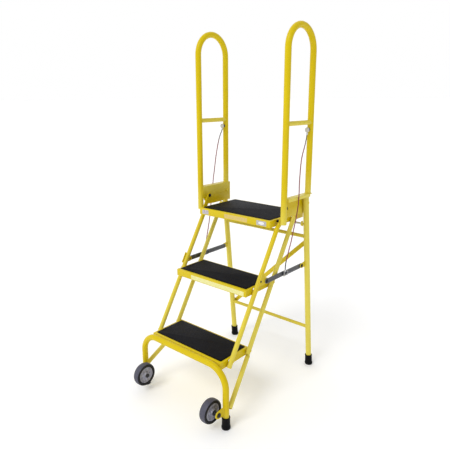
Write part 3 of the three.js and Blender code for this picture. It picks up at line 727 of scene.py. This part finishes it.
CORD_ROUTES = {
    "right": [
        (0.2309, 0.2496, 1.1015), (0.2316, 0.2475, 1.088), (0.2330, 0.2395, 1.068),
        (0.2350, 0.2275, 1.045), (0.2370, 0.2140, 1.023), (0.2394, 0.2020, 1.001),
        (0.2420, 0.1930, 0.975), (0.2444, 0.1865, 0.948), (0.2466, 0.1810, 0.918),
        (0.2483, 0.1775, 0.888), (0.2492, 0.1760, 0.860), (0.2492, 0.1750, 0.834),
        (0.2482, 0.1732, 0.808), (0.2468, 0.1700, 0.783), (0.2454, 0.1645, 0.754),
        (0.2440, 0.1580, 0.728), (0.2426, 0.1500, 0.698), (0.2412, 0.1410, 0.664),
        (0.2396, 0.1300, 0.632), (0.2378, 0.1205, 0.602), (0.2352, 0.1155, 0.576),
        (0.2324, 0.1165, 0.556), (0.2305, 0.1190, 0.543),
    ],
    "left": [
        (-0.2309, 0.2496, 1.1015), (-0.2314, 0.2445, 1.088), (-0.2334, 0.2335, 1.065),
        (-0.2359, 0.2260, 1.038), (-0.2386, 0.2205, 1.008), (-0.2414, 0.2160, 0.978),
        (-0.2442, 0.2120, 0.942), (-0.2470, 0.2085, 0.907), (-0.2488, 0.2045, 0.878),
        (-0.2493, 0.2005, 0.850), (-0.2490, 0.1960, 0.824), (-0.2478, 0.1905, 0.796),
        (-0.2462, 0.1840, 0.768), (-0.2446, 0.1770, 0.734), (-0.2428, 0.1695, 0.697),
        (-0.2412, 0.1605, 0.662), (-0.2396, 0.1515, 0.632), (-0.2382, 0.1430, 0.606),
        (-0.2362, 0.1340, 0.578), (-0.2334, 0.1260, 0.556), (-0.2305, 0.1200, 0.543),
    ],
}


def smooth_route(points, steps=6):
    """A curve through the points, with a few steps between each two."""
    places = [Vector(p) for p in points]
    ends = [places[0] * 2 - places[1], *places, places[-1] * 2 - places[-2]]
    out = []
    for a, b, c, d in zip(ends, ends[1:], ends[2:], ends[3:]):
        for i in range(steps):
            t = i / steps
            out.append(0.5 * (2 * b + (c - a) * t + (2 * a - 5 * b + 4 * c - d) * t * t
                              + (3 * b - a - 3 * c + d) * t**3))
    out.append(places[-1])
    return out


def pull_cord(side):
    path = smooth_route(CORD_ROUTES[side])
    length = sum((b - a).length for a, b in zip(path, path[1:]))
    made = make_piece(
        f"{side}_cord", solid_rod(path, CORD_RADIUS, 14), "handrails", "cord_fibre",
        replaces=f"{side}_pull_cord",
    )
    tuple(path[0])
    [tuple(p) for p in path]
    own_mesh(made)


for side, _ in SIDES:
    pull_cord(side)

# ---- treads


def tread(level, name):
    """The folded pan and its mat: a smooth edge strip round a pebbled face that stands a little higher."""
    body = TREAD_BODIES[name]
    softened(f"{name}_tread", f"{name}_pan", body, PAN_EDGE, 4)
    low, high = MATS[level]
    edge_width = 0.0045
    edge_corner, face_corner = 0.005, 0.003
    bevel = 0.0008
    face_rise = 0.0009
    edge_top = high.z - face_rise
    edge = mat_sheet(low, high, 0, edge_corner, low.z, edge_top, bevel)
    make_piece(f"{name}_mat_edge", edge, body, "mat_rubber", "mat_edge", f"{name}_mat")
    face = mat_sheet(low, high, edge_width, face_corner, edge_top - bevel / 2, high.z, bevel)
    make_piece(f"{name}_mat_face", face, body, "mat_rubber", "mat_rubber")


def mat_sheet(low, high, inset, corner, z_low, z_high, bevel):
    """A sheet with rounded corners and a softened top edge."""
    rings = []
    for shrink, z in (
        (0, z_low), (0, z_high - bevel), (bevel * 0.35, z_high - bevel * 0.3), (bevel, z_high)
    ):
        edge = inset + shrink
        near, far = (low.x + edge, low.y + edge), (high.x - edge, high.y - edge)
        rings.append(rounded_outline(near, far, corner, 6, lambda x, y: Vector((x, y, z))))
    return loft(rings)


for level, name in enumerate(TREADS):
    tread(level, name)

# ---- rails


def front_rail_rings():
    """Round tube that presses flat and wide near its top and ends in a rounded nose."""
    top = Vector((RAIL_X, *RAIL_PIVOT))
    half_flat, half_nose = FLAT_END_THICKNESS / 2, FLAT_END_WIDTH / 2
    press_length = FLAT_END_START - FLAT_END_FULL
    nose_start = FLAT_END_REACH - half_nose
    foot_lift = 0.0005
    foot = rail_point(FRONT_PIVOT_FROM_MAT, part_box("right_front_rail")[0].z + foot_lift)
    foot_along = (foot - top).dot(RAIL_ALONG)
    press_steps, nose_steps = 10, 7
    below_pivot = -0.02
    heights = [-FLAT_END_START + press_length * i / press_steps for i in range(press_steps + 1)]
    rings = [(along, 1.0) for along in (foot_along, *heights, below_pivot, nose_start)]
    nose_angle = 0.5 * pi * 0.97
    for i in range(1, nose_steps + 1):
        angle = nose_angle * i / nose_steps
        rings.append((nose_start + half_nose * sin(angle), cos(angle)))
    squareness = 0.55
    made = []
    for along, narrowing in rings:
        t = min(max((along + FLAT_END_START) / press_length, 0), 1)
        press = t * t * (3 - 2 * t)
        centre = foot if along == foot_along else top + RAIL_ALONG * along
        centre.x += (PLATE_X - GAP - half_flat - RAIL_X) * press
        half_thick = RAIL_RADIUS + (half_flat - RAIL_RADIUS) * press
        half_wide = (RAIL_RADIUS + (half_nose - RAIL_RADIUS) * press) * narrowing
        ring = []
        for angle in turns(TUBE_SIDES):
            thick = copysign(abs(cos(angle)) ** (1 - squareness * press), cos(angle))
            across = RAIL_ACROSS * (sin(angle) * half_wide)
            ring.append(centre + Vector((thick * half_thick, 0, 0)) + across)
        made.append(ring)
    return made


def front_rail(side, sign):
    rings = front_rail_rings()
    foot = rings[0]
    centre = sum(foot, Vector()) / len(foot)
    bore = [centre + (v - centre) * (1 - RAIL_WALL / RAIL_RADIUS) for v in foot]
    plug_depth = RAIL_ALONG * 0.03
    deep = [v + plug_depth for v in bore]
    shell = loft([deep, bore, *rings])
    painted(f"{side}_front_rail_tube", mirrored(shell, sign), "front_rails", f"{side}_front_rail")


def rear_rail(side, sign):
    low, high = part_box(f"{side}_rear_rail")
    end_rise = RAIL_RADIUS * RAIL_LEAN / sqrt(1 + RAIL_LEAN**2)
    ends = [rail_point(REAR_PIVOT_FROM_MAT, z) for z in (low.z + end_rise, high.z - end_rise)]
    shell = hollow_tube(ends, RAIL_RADIUS, RAIL_WALL)
    painted(f"{side}_rear_rail_tube", mirrored(shell, sign), "rear_rails", f"{side}_rear_rail")


def rail_bolts(side, sign):
    """The tread pivots: painted bolts outside each rail, and a black one with a spacer at the platform."""
    outer = RAIL_X + RAIL_RADIUS - SEAT_SINK
    for rail, from_mat in (("front", FRONT_PIVOT_FROM_MAT), ("rear", REAR_PIVOT_FROM_MAT)):
        for level, name in enumerate(TREADS):
            y, z = pivot(level, from_mat)
            shells = [domed_bolt((sign * outer, y, z), sign, "tread_bolt")]
            finish = "yellow_paint"
            replaced = None
            if rail == "front" and name == "platform":
                shells += platform_spacer(y, z, sign)
                finish = "black_bolts"
                replaced = f"{side}_platform_pivot_bolt"
            bolt = f"{side}_{rail}_{name}_bolt"
            make_piece(bolt, merge(*shells), f"{rail}_rails", finish, replaces=replaced)


def platform_spacer(y, z, sign):
    """The bolt's head inside the pan and the spacer between the pan and the pressed rail."""
    start = outer_face("platform_tread")
    end = PLATE_X - GAP - FLAT_END_THICKNESS
    radius = 0.0054
    waist = 0.0006
    corners = [(0, start), (radius, start), (radius - waist, (start + end) / 2), (radius, end), (0, end)]
    spacer = lathe(rounded(corners, waist, 2), (0, y, z), "X", 32)
    return [mirrored(spacer, sign), bolt_head((sign * (start - PAN_SHEET), y, z), -sign, "spacer_bolt")]


for side, sign in SIDES:
    front_rail(side, sign)
    rear_rail(side, sign)
    rail_bolts(side, sign)

# ---- handrail unit


def handrail(side, sign):
    """The tube that loops from its front foot over to the side bracket, and the cross tube in it."""
    radius = (HANDRAIL_REAR_Y - HANDRAIL_FRONT_Y) / 2
    centre_z = HANDRAIL_BOX[1].z - TUBE_RADIUS - radius
    centre_y = HANDRAIL_FRONT_Y + radius
    front_drop = HANDRAIL_BOX[0].z - centre_z
    rear_foot = BRACKET_BOX[1].z
    rear_drop = rear_foot - centre_z
    steps = 6

    def place(y, z):
        return Vector((sign * SIDE_X, y, z))

    front = [place(HANDRAIL_FRONT_Y, centre_z + front_drop * (steps - i) / steps) for i in range(steps)]
    bend = arc_points((centre_y, centre_z), radius, 180, 0, BEND_STEPS, place)
    rear = [place(HANDRAIL_REAR_Y, centre_z + rear_drop * (i + 1) / steps) for i in range(steps)]
    shell = hollow_tube(front + bend + rear, TUBE_RADIUS, TUBE_WALL)
    painted(f"{side}_handrail_tube", shell, "handrails", f"{side}_handrail")

    bar = f"{side}_handrail_bar"
    bar_z, bar_radius = level_bar(bar)
    ends = [place(HANDRAIL_FRONT_Y + BAR_SHORT, bar_z), place(HANDRAIL_REAR_Y - BAR_SHORT, bar_z)]
    painted(f"{side}_cross_tube", solid_rod(ends, bar_radius), "handrails", bar)
    beads = [
        weld_bead(place(y, bar_z), (0, along, 0), (0, 0, 1), bar_radius)
        for y, along in ((HANDRAIL_FRONT_Y, 1), (HANDRAIL_REAR_Y, -1))
    ]
    weld_piece(f"{side}_cross_tube_welds", "handrails", *beads)

    weld_lift, weld_sink = 0.0006, 0.0003
    foot = (place(HANDRAIL_REAR_Y, rear_foot + weld_lift), Vector((1, 0, 0)), Vector((0, 1, 0)))
    bead = rippled(ring_at(foot, TUBE_RADIUS - weld_sink, 40), closed=True)
    weld_piece(f"{side}_handrail_foot_weld", "handrails", bead)


def side_bracket(side, sign):
    """The bracket plate with the bolts that the front rail and the leg turn on."""
    softened(f"{side}_side_bracket", f"{side}_side_plate", "handrails", PLATE_EDGE, 3)
    y, z = RAIL_PIVOT
    rail_face = PLATE_X - GAP - FLAT_END_THICKNESS
    shell = merge(
        domed_bolt((sign * (PLATE_X + BRACKET_SHEET), y, z), sign, "top_bolt"),
        bolt_head((sign * rail_face, y, z), -sign, "top_bolt_inside"),
    )
    make_piece(f"{side}_top_bolt", shell, "handrails", "black_bolts", replaces=f"{side}_top_pivot_bolt")
    y, z = middle_of("right_leg_pivot_bolt").yz
    shell = merge(
        domed_bolt((sign * (SIDE_X + TUBE_RADIUS - SEAT_SINK), y, z), sign, "leg_bolt"),
        bolt_head((sign * PLATE_X, y, z), -sign, "leg_bolt_inside"),
    )
    painted(f"{side}_leg_bolt", shell, "handrails", f"{side}_leg_pivot_bolt")


def cord_knob(side, sign):
    """A pale turned knob with a finger groove, on a black stud that stands off the rear tube."""
    node = f"{side}_cord_knob"
    z, radius = level_bar(node)
    centre = (sign * SIDE_X, 0, z)
    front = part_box(node)[0].y
    depth = 0.006
    back = front + depth
    stud_radius = 0.0042
    tube_face = HANDRAIL_REAR_Y - TUBE_RADIUS + 0.0012
    corners = [(0, front), (radius * 0.97, front), (radius, front + 0.002), (radius * 0.94, front + 0.003),
               (radius, front + 0.004), (radius * 0.97, back), (0, back)]
    make_piece(f"{side}_knob", lathe(rounded(corners, 0.0011, 3), centre, "Y"), "handrails", "knob_plastic",
               replaces=node)
    stud = [(0, back - 0.0005), (stud_radius, back - 0.0005), (stud_radius, back + 0.004),
            (stud_radius * 1.5, back + 0.0045), (stud_radius * 1.5, tube_face), (0, tube_face)]
    make_piece(f"{side}_knob_stud", lathe(stud, centre, "Y", 24), "handrails", "black_bolts")
    stop_radius = CORD_RADIUS * 1.7
    stop_length = 0.009
    stop = [(0, -stop_length), (stop_radius, -stop_length), (stop_radius, 0.0), (0, 0.0)]
    make_piece(f"{side}_cord_ferrule", lathe(rounded(stop, 0.0008, 2), CORD_ROUTES[side][0], "Z", 24),
               "handrails", "zinc_steel")


for side, sign in SIDES:
    handrail(side, sign)
    side_bracket(side, sign)
    cord_knob(side, sign)

# ---- rear legs


def rear_leg(side, sign):
    end_rise = 0.0013
    ends = [leg_point(LEG_BOX[0].z + end_rise), leg_point(LEG_BOX[1].z - end_rise)]
    shell = hollow_tube(ends, TUBE_RADIUS, TUBE_WALL)
    painted(f"{side}_leg_tube", mirrored(shell, sign), "rear_legs", f"{side}_rear_leg")
    softened(f"{side}_leg_tab", f"{side}_front_tab", "rear_legs", TAB_EDGE)
    softened(f"{side}_spreader_lug", f"{side}_link_lug", "rear_legs", TAB_EDGE)


def level_welds(name, z, radius, behind=0.0):
    """A bead at each leg for a level bar, which runs behind the legs' axes by the distance behind."""
    axis = leg_point(z)
    beads = [
        weld_bead((sign * axis.x, axis.y, z), (-sign, 0, 0), LEG_UP, radius, sign * behind)
        for _, sign in SIDES
    ]
    weld_piece(f"{name}_welds", "rear_legs", *beads)


def crossbar(name):
    z, radius = level_bar(name)
    y = leg_point(z).y
    reach = SIDE_X - BAR_SHORT
    shell = solid_rod([Vector((-reach, y, z)), Vector((reach, y, z))], radius, 28)
    painted(f"{name}_tube", shell, "rear_legs", name)
    level_welds(name, z, radius)


def rest_rod():
    """The bright rod between the legs, with a bead where each end meets a tube."""
    z, radius = level_bar("rest_rod")
    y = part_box("rest_rod")[0].y + radius
    inset = 0.0004
    slimming = 0.0002
    reach = outer_face("rest_rod") - inset
    shell = solid_rod([Vector((-reach, y, z)), Vector((reach, y, z))], radius - slimming, 24)
    make_piece("rest_rod_bar", shell, "rear_legs", "zinc_steel", replaces="rest_rod")
    level_welds("rest_rod", z, radius, y - leg_point(z).y)


def brace():
    """The flat diagonal bar across the backs of the legs, welded along its two ends."""
    softened("diagonal_brace", "brace_bar", "rear_legs", PLATE_EDGE)
    low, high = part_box("diagonal_brace")
    reach = high.x
    half = BRACE_WIDTH / 2
    lines = []
    for x, z in ((-reach, low.z + half), (reach, high.z - half)):
        tube_depth = sqrt(TUBE_RADIUS**2 - (SIDE_X - reach) ** 2)
        middle = leg_point(z) + LEG_BACK * tube_depth
        middle.x = x
        lines.append(weld_line(middle - LEG_UP * half, middle + LEG_UP * half))
    weld_piece("brace_welds", "rear_legs", *lines)


for side, sign in SIDES:
    rear_leg(side, sign)
crossbar("upper_crossbar")
crossbar("lower_crossbar")
rest_rod()
brace()

# ---- spreaders


def spreader(side, sign):
    """Two flat links from the front rail to the leg, riveted together under a latch clip."""
    front_link, rear_link = f"{side}_front_link", f"{side}_rear_link"
    softened(f"{side}_spreader_bracket", f"{side}_link_bracket", "front_rails", TAB_EDGE)
    softened(front_link, f"{side}_front_arm", front_link, LINK_EDGE, slot="link_steel")
    softened(rear_link, f"{side}_rear_arm", rear_link, LINK_EDGE, slot="link_steel")
    softened(f"{side}_spreader_latch", f"{side}_latch_clip", rear_link, CLIP_EDGE, slot="zinc_steel")
    z, half = level_bar(front_link)
    front_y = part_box(front_link)[0].y + half
    middle_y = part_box(rear_link)[0].y + half
    rear_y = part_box(rear_link)[1].y - half
    clip_face = outer_face(rear_link) + LATCH_DEPTH
    bracket_face = outer_face(f"{side}_spreader_bracket")
    lug_face = outer_face(f"{side}_spreader_lug")
    for name, make, x, y, z_at, body in (
        ("front_rivet", rivet, outer_face(front_link), front_y, z, "front_rails"),
        ("bracket_bolt", domed_bolt, bracket_face, *BRACKET_BOLT, "front_rails"),
        ("rear_rivet", rivet, lug_face, rear_y, z, "rear_legs"),
        ("middle_rivet", rivet, clip_face, middle_y, z, rear_link),
    ):
        make_piece(f"{side}_{name}", make((sign * x, y, z_at), sign, name), body, "black_bolts")
    flanges = [latch_flange(sign * clip_face, sign, middle_y + offset, z) for offset in LATCH_EDGES]
    make_piece(f"{side}_latch_flanges", merge(*flanges), rear_link, "zinc_steel")


def latch_flange(x, sign, y, z):
    """A turned-up edge of the latch, with rounded corners, that stands out from the clip at x."""
    half_thick, half_tall, reach, corner = 0.0009, 0.0095, 0.0042, 0.0016
    root = -0.001
    rings = []
    for face_y in (y - half_thick, y + half_thick):

        def place(out, up):
            return Vector((x + sign * out, face_y, z + up))

        ring = [place(root, -half_tall)]
        ring += arc_points((reach - corner, corner - half_tall), corner, -90, 0, 4, place)
        ring += arc_points((reach - corner, half_tall - corner), corner, 0, 90, 4, place)
        ring.append(place(root, half_tall))
        rings.append(ring)
    return loft(rings)


for side, sign in SIDES:
    spreader(side, sign)

# ---- base

HOOP_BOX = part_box("front_hoop")
HOOP_X = HOOP_BOX[1].x - TUBE_RADIUS
HOOP_Y = (HOOP_BOX[0].y + HOOP_BOX[1].y) / 2
HOOP_TOP_Z = HOOP_BOX[1].z - TUBE_RADIUS


def front_hoop():
    flat = HOOP_X - HOOP_BEND
    low = HOOP_TOP_Z - HOOP_BEND

    def place(x, z):
        return Vector((x, HOOP_Y, z))

    points = [place(-HOOP_X, HOOP_BOX[0].z), place(-HOOP_X, low / 2)]
    points += arc_points((-flat, low), HOOP_BEND, 180, 90, BEND_STEPS, place)
    points += arc_points((flat, low), HOOP_BEND, 90, 0, BEND_STEPS, place)
    points += [place(HOOP_X, low / 2), place(HOOP_X, HOOP_BOX[0].z)]
    painted("hoop_tube", hollow_tube(points, TUBE_RADIUS, TUBE_WALL), "base", "front_hoop")


def hoop_stitches():
    """Short beads that hold the bottom tread's front to the back of the hoop."""
    tread_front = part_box("bottom_tread")[0].y
    y = (HOOP_BOX[1].y + tread_front) / 2
    half_length = 0.017
    row_rise = 0.0018
    rows = []
    for x in (-0.135, -0.045, 0.045, 0.135):
        for z in (HOOP_TOP_Z + row_rise, HOOP_TOP_Z - row_rise):
            rows.append(weld_line((x - half_length, y, z), (x + half_length, y, z)))
    weld_piece("hoop_stitches", "base", *rows)


def strut(side, sign):
    """A strut with the bead where its side meets the hoop's leg."""
    shell = hollow_tube([STRUT_FOOT, STRUT_HEAD], RAIL_RADIUS, RAIL_WALL, 28)
    painted(f"{side}_strut_tube", mirrored(shell, sign), "base", f"{side}_front_strut")
    weld_piece(f"{side}_strut_weld", "base", mirrored(rippled(strut_meets_leg()), sign))


def strut_meets_leg():
    """Where lines along the strut's surface leave the hoop's leg."""
    along = (STRUT_HEAD - STRUT_FOOT).normalized()
    leg = Vector((HOOP_X, HOOP_Y))
    level = along.xy.length_squared
    foot = path_frames([STRUT_FOOT, STRUT_HEAD])[0]
    points = []
    for start in ring_at(foot, RAIL_RADIUS, 48):
        offset = start.xy - leg
        half = offset.dot(along.xy)
        inside = half**2 - level * (offset.length_squared - TUBE_RADIUS**2)
        reach = (sqrt(inside) - half) / level if inside > 0 else -1
        points.append(start + along * reach if reach > 0 else None)
    first = next(i for i, p in enumerate(points) if p is None)
    return [p for p in points[first:] + points[:first] if p is not None]


def rubber_boot(side, sign, which, body, x, y, lean):
    """A moulded boot: rolled rim, slight taper, a grip band and a rounded sole."""
    node = f"{side}_{which}_foot"
    low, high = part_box(node)
    height = high.z
    skin = 0.0002
    sole = (high.x - low.x) / 2 + skin
    neck = sole - 0.002
    rim = neck + 0.0008
    bore = TUBE_RADIUS + skin
    floor = 0.0088
    corners = [
        (0, 0), (sole - 0.0012, 0), (sole, 0.0045), (sole, 0.0105), (neck + 0.0004, 0.0155),
        (neck, height - 0.008), (rim, height - 0.005), (rim, height - 0.0012), (bore + 0.0012, height),
        (bore, height - 0.002), (bore, floor), (0, floor),
    ]
    vertices, faces = lathe(rounded(corners, 0.0022, 4), (0, 0, 0), "Z", 40)
    leaned = [Vector((v[0] + sign * x, v[1] + y - v[2] * lean, v[2])) for v in vertices]
    make_piece(f"{side}_{which}_boot", (leaned, faces), body, "foot_rubber", replaces=node)


def both_faces(half_profile, *inner):
    """A closed profile from its points on one face, the same on the other face, and any inner points."""
    other = [(radius, -along) for radius, along in reversed(half_profile)]
    return [*half_profile, *other, *inner, half_profile[0]]


def wheel(side):
    """A solid tyre with a grooved shoulder, and a dished hub with ribs on both faces."""
    body = f"{side}_wheel"
    low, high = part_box(f"{side}_tyre")
    r = (high.z - low.z) / 2
    half = (high.x - low.x) / 2
    centre = middle_of(f"{side}_tyre")
    crown = [(r * 0.93, -half * 0.93), (r - 0.0012, -half * 0.72), (r, -half * 0.4)]
    tread = both_faces(crown, (r * 0.9, 0))
    make_piece(f"{side}_tyre_tread", lathe(tread, centre, "X", 72), body, "tyre_rubber",
               replaces=f"{side}_tyre", sharp=30)
    inner = r * HUB_SHARE
    shoulder = [
        (r * 0.955, half * 0.82), (r * 0.93, half * 0.97), (r * 0.84, half), (inner + 0.001, half * 0.93),
        (inner, half * 0.8),
    ]
    wall = lathe(both_faces(shoulder, (r * 0.91, 0)), centre, "X", 72)
    make_piece(f"{side}_tyre_wall", wall, body, "tyre_rubber", "tyre_wall", sharp=30)
    face = half * 0.82
    dish = [
        (inner + 0.0003, face - 0.003), (inner - 0.001, face), (inner - 0.005, face),
        (inner - 0.0065, face - 0.003), (0.018, face - 0.0045), (0.0145, face - 0.001), (0.0125, HUB_HALF),
        (0.0068, HUB_HALF),
    ]
    make_piece(f"{side}_hub", lathe(both_faces(dish), centre, "X", 64), body, "hub_plastic",
               replaces=f"{side}_wheel_hub", sharp=30)
    ribs = [hub_rib(centre, angle, end, face, inner) for angle in turns(HUB_RIBS) for end in (1, -1)]
    make_piece(f"{side}_hub_ribs", merge(*ribs), body, "hub_plastic", sharp=30)


def hub_rib(centre, angle, end, face, inner):
    """A low radial rib on one face of the hub."""
    radial = Vector((0, cos(angle), sin(angle)))
    around = Vector((0, -sin(angle), cos(angle)))
    half_width, crown_share = 0.0013, 0.6
    start, stop = 0.013, inner - 0.0055
    root, crown = (face - 0.006) * end, (face - 0.0022) * end
    corners = []
    for x, shrink in ((root, 1.0), (crown, crown_share)):
        for r, s in ((start, -1), (stop, -1), (stop, 1), (start, 1)):
            corners.append(centre + Vector((x, 0, 0)) + radial * r + around * (s * half_width * shrink))
    return loft([corners[:4], corners[4:]])


def axle(side, sign):
    """The axle bolt: head inside, nut beside the hub, spacer to the tab and a nut outside it."""
    ends = sorted(abs(corner.x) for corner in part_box(f"{side}_axle_bolt"))
    start = ends[0] + 0.002
    end = ends[1] - 0.0003
    chamfer = 0.0012
    centre = middle_of(f"{side}_tyre")
    y, z = centre.yz
    hub_face = abs(centre.x) + HUB_HALF + 0.0005
    tab_face = outer_face(f"{side}_wheel_bracket")
    hub_washer, tab_washer = 0.001, 0.0011
    head_height, hub_nut_height, tab_nut_height = 0.006, 0.0075, 0.0042
    profile = [
        (0, start), (AXLE_RADIUS, start), (AXLE_RADIUS, ends[1] - 0.002), (AXLE_RADIUS - chamfer, end),
        (0, end),
    ]
    shaft = lathe(profile, (0, y, z), "X", 32)
    shells = [
        mirrored(shaft, sign),
        hex_head((sign * (ends[0] + 0.0065), y, z), -sign, AXLE_NUT, head_height),
        hex_head((sign * (hub_face + hub_washer), y, z), sign, AXLE_NUT, hub_nut_height),
        hex_head((sign * (tab_face + tab_washer), y, z), sign, AXLE_NUT * 0.93, tab_nut_height),
        washer((sign * tab_face, y, z), sign, AXLE_NUT * 1.08, tab_washer),
        washer((sign * hub_face, y, z), sign, AXLE_NUT * 1.15, hub_washer),
    ]
    make_piece(f"{side}_axle", merge(*shells), "base", "black_bolts", replaces=f"{side}_axle_bolt")


def wheel_tab(side):
    """The tab that carries the axle, with a bead down both sides of its joint with the hoop's leg."""
    node = f"{side}_wheel_bracket"
    softened(node, f"{side}_wheel_tab", "base", PLATE_EDGE, 3)
    low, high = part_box(node)
    inset = 0.002
    lines = [weld_line((x, high.y, low.z + inset), (x, high.y, high.z - inset)) for x in (low.x, high.x)]
    weld_piece(f"{side}_wheel_tab_welds", "base", *lines)


front_hoop()
hoop_stitches()
for side, sign in SIDES:
    strut(side, sign)
    rubber_boot(side, sign, "front", "base", HOOP_X, HOOP_Y, 0)
    rubber_boot(side, sign, "rear", "rear_legs", SIDE_X, LEG_FOOT_Y, LEG_LEAN)
    wheel(side)
    axle(side, sign)
    wheel_tab(side)

# ---- labels


def label(tread_name, which, color, x_low, x_high, share_low, share_high):
    """A blank film patch on a tread's front face. Its heights are shares of the face's height."""
    low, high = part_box(f"{tread_name}_tread")
    tall = high.z - low.z
    bottom, top = low.z + tall * share_low, low.z + tall * share_high
    corner = min(0.0015, (top - bottom) / 3)
    rings = [
        rounded_outline((x_low, bottom), (x_high, top), corner, 4, lambda x, z: Vector((x, y, z)))
        for y in (low.y + LABEL_SINK, low.y - LABEL_THICKNESS)
    ]
    body = TREAD_BODIES[tread_name]
    make_piece(f"{tread_name}_label_{which}", loft(rings), body, "yellow_paint", f"label_{color}")


def oval_label():
    """An oval patch over the platform's plate label."""
    face_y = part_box("platform_tread")[0].y
    z = middle_of("platform_tread").z
    half_axes = Vector((OVAL_HALF_WIDTH, 0, 0)), Vector((0, 0, OVAL_HALF_HEIGHT))
    rings = []
    for y in (face_y - LABEL_THICKNESS * 0.5, face_y - LABEL_THICKNESS * 1.5):
        rings.append(ring_at((Vector((OVAL_X, y, z)), *half_axes), 1.0, 40))
    make_piece("platform_label_oval", loft(rings), "platform", "yellow_paint", "label_white")


label("platform", "small", "mauve", -0.179, -0.142, 0.14, 0.80)
label("platform", "long", "beige", -0.048, 0.078, 0.16, 0.80)
label("platform", "plate", "silver", 0.127, 0.177, 0.14, 0.84)
oval_label()
label("middle", "strip", "cream", -0.108, 0.184, 0.08, 0.74)
label("bottom", "strip", "cream", -0.150, 0.150, 0.34, 0.86)

# ---- stage


def add_floor():
    bpy.ops.mesh.primitive_plane_add(size=FLOOR_SIZE, location=(0, 0, 0))
    floor = bpy.context.object
    floor.name = "floor"
    nodes = Finish("floor", 0.8)
    nodes.color(nodes.mix(nodes.noise(2), (0.94, 0.94, 0.94), (0.97, 0.97, 0.97)))
    nodes.feed(nodes.shader, Emission_Color=(1, 1, 1), Emission_Strength=FLOOR_GLOW)
    floor.data.materials.append(nodes.material)


def add_sun(name, towards, strength, softness):
    light = bpy.data.lights.new(name, "SUN")
    light.energy = strength
    light.angle = radians(softness)
    holder = bpy.data.objects.new(name, light)
    holder.rotation_euler = Vector(towards).to_track_quat("-Z", "Y").to_euler()
    SCENE.collection.objects.link(holder)


def add_world(window, bright, dim):
    """A white studio with most of its light on the side that window points to. The camera sees it
    evenly white."""
    world = bpy.data.worlds.new("studio")
    world.use_nodes = True
    nodes = Nodes(world.node_tree)
    facing = nodes.add("VectorMath")
    facing.operation = "DOT_PRODUCT"
    nodes.tree.links.new(nodes.add("TexCoord").outputs["Generated"], facing.inputs[0])
    facing.inputs[1].default_value = window
    dim_from, bright_from = -0.35, 0.4
    level = nodes.spread(facing.outputs["Value"], dim_from, bright_from, dim, bright)
    seen = nodes.add("Mix", Factor=nodes.add("LightPath").outputs["Is Camera Ray"], A=level, B=1.0)
    background = nodes.tree.nodes["Background"]
    nodes.feed(background, Color=(1, 1, 1), Strength=seen.outputs["Result"])
    SCENE.world = world


add_floor()
add_world((-0.978, 0.209, 0), 0.93, 0.56)
add_sun("key", (0.0, 0.8, -0.85), 1.15, 25)
SCENE.view_settings.view_transform = "Standard"
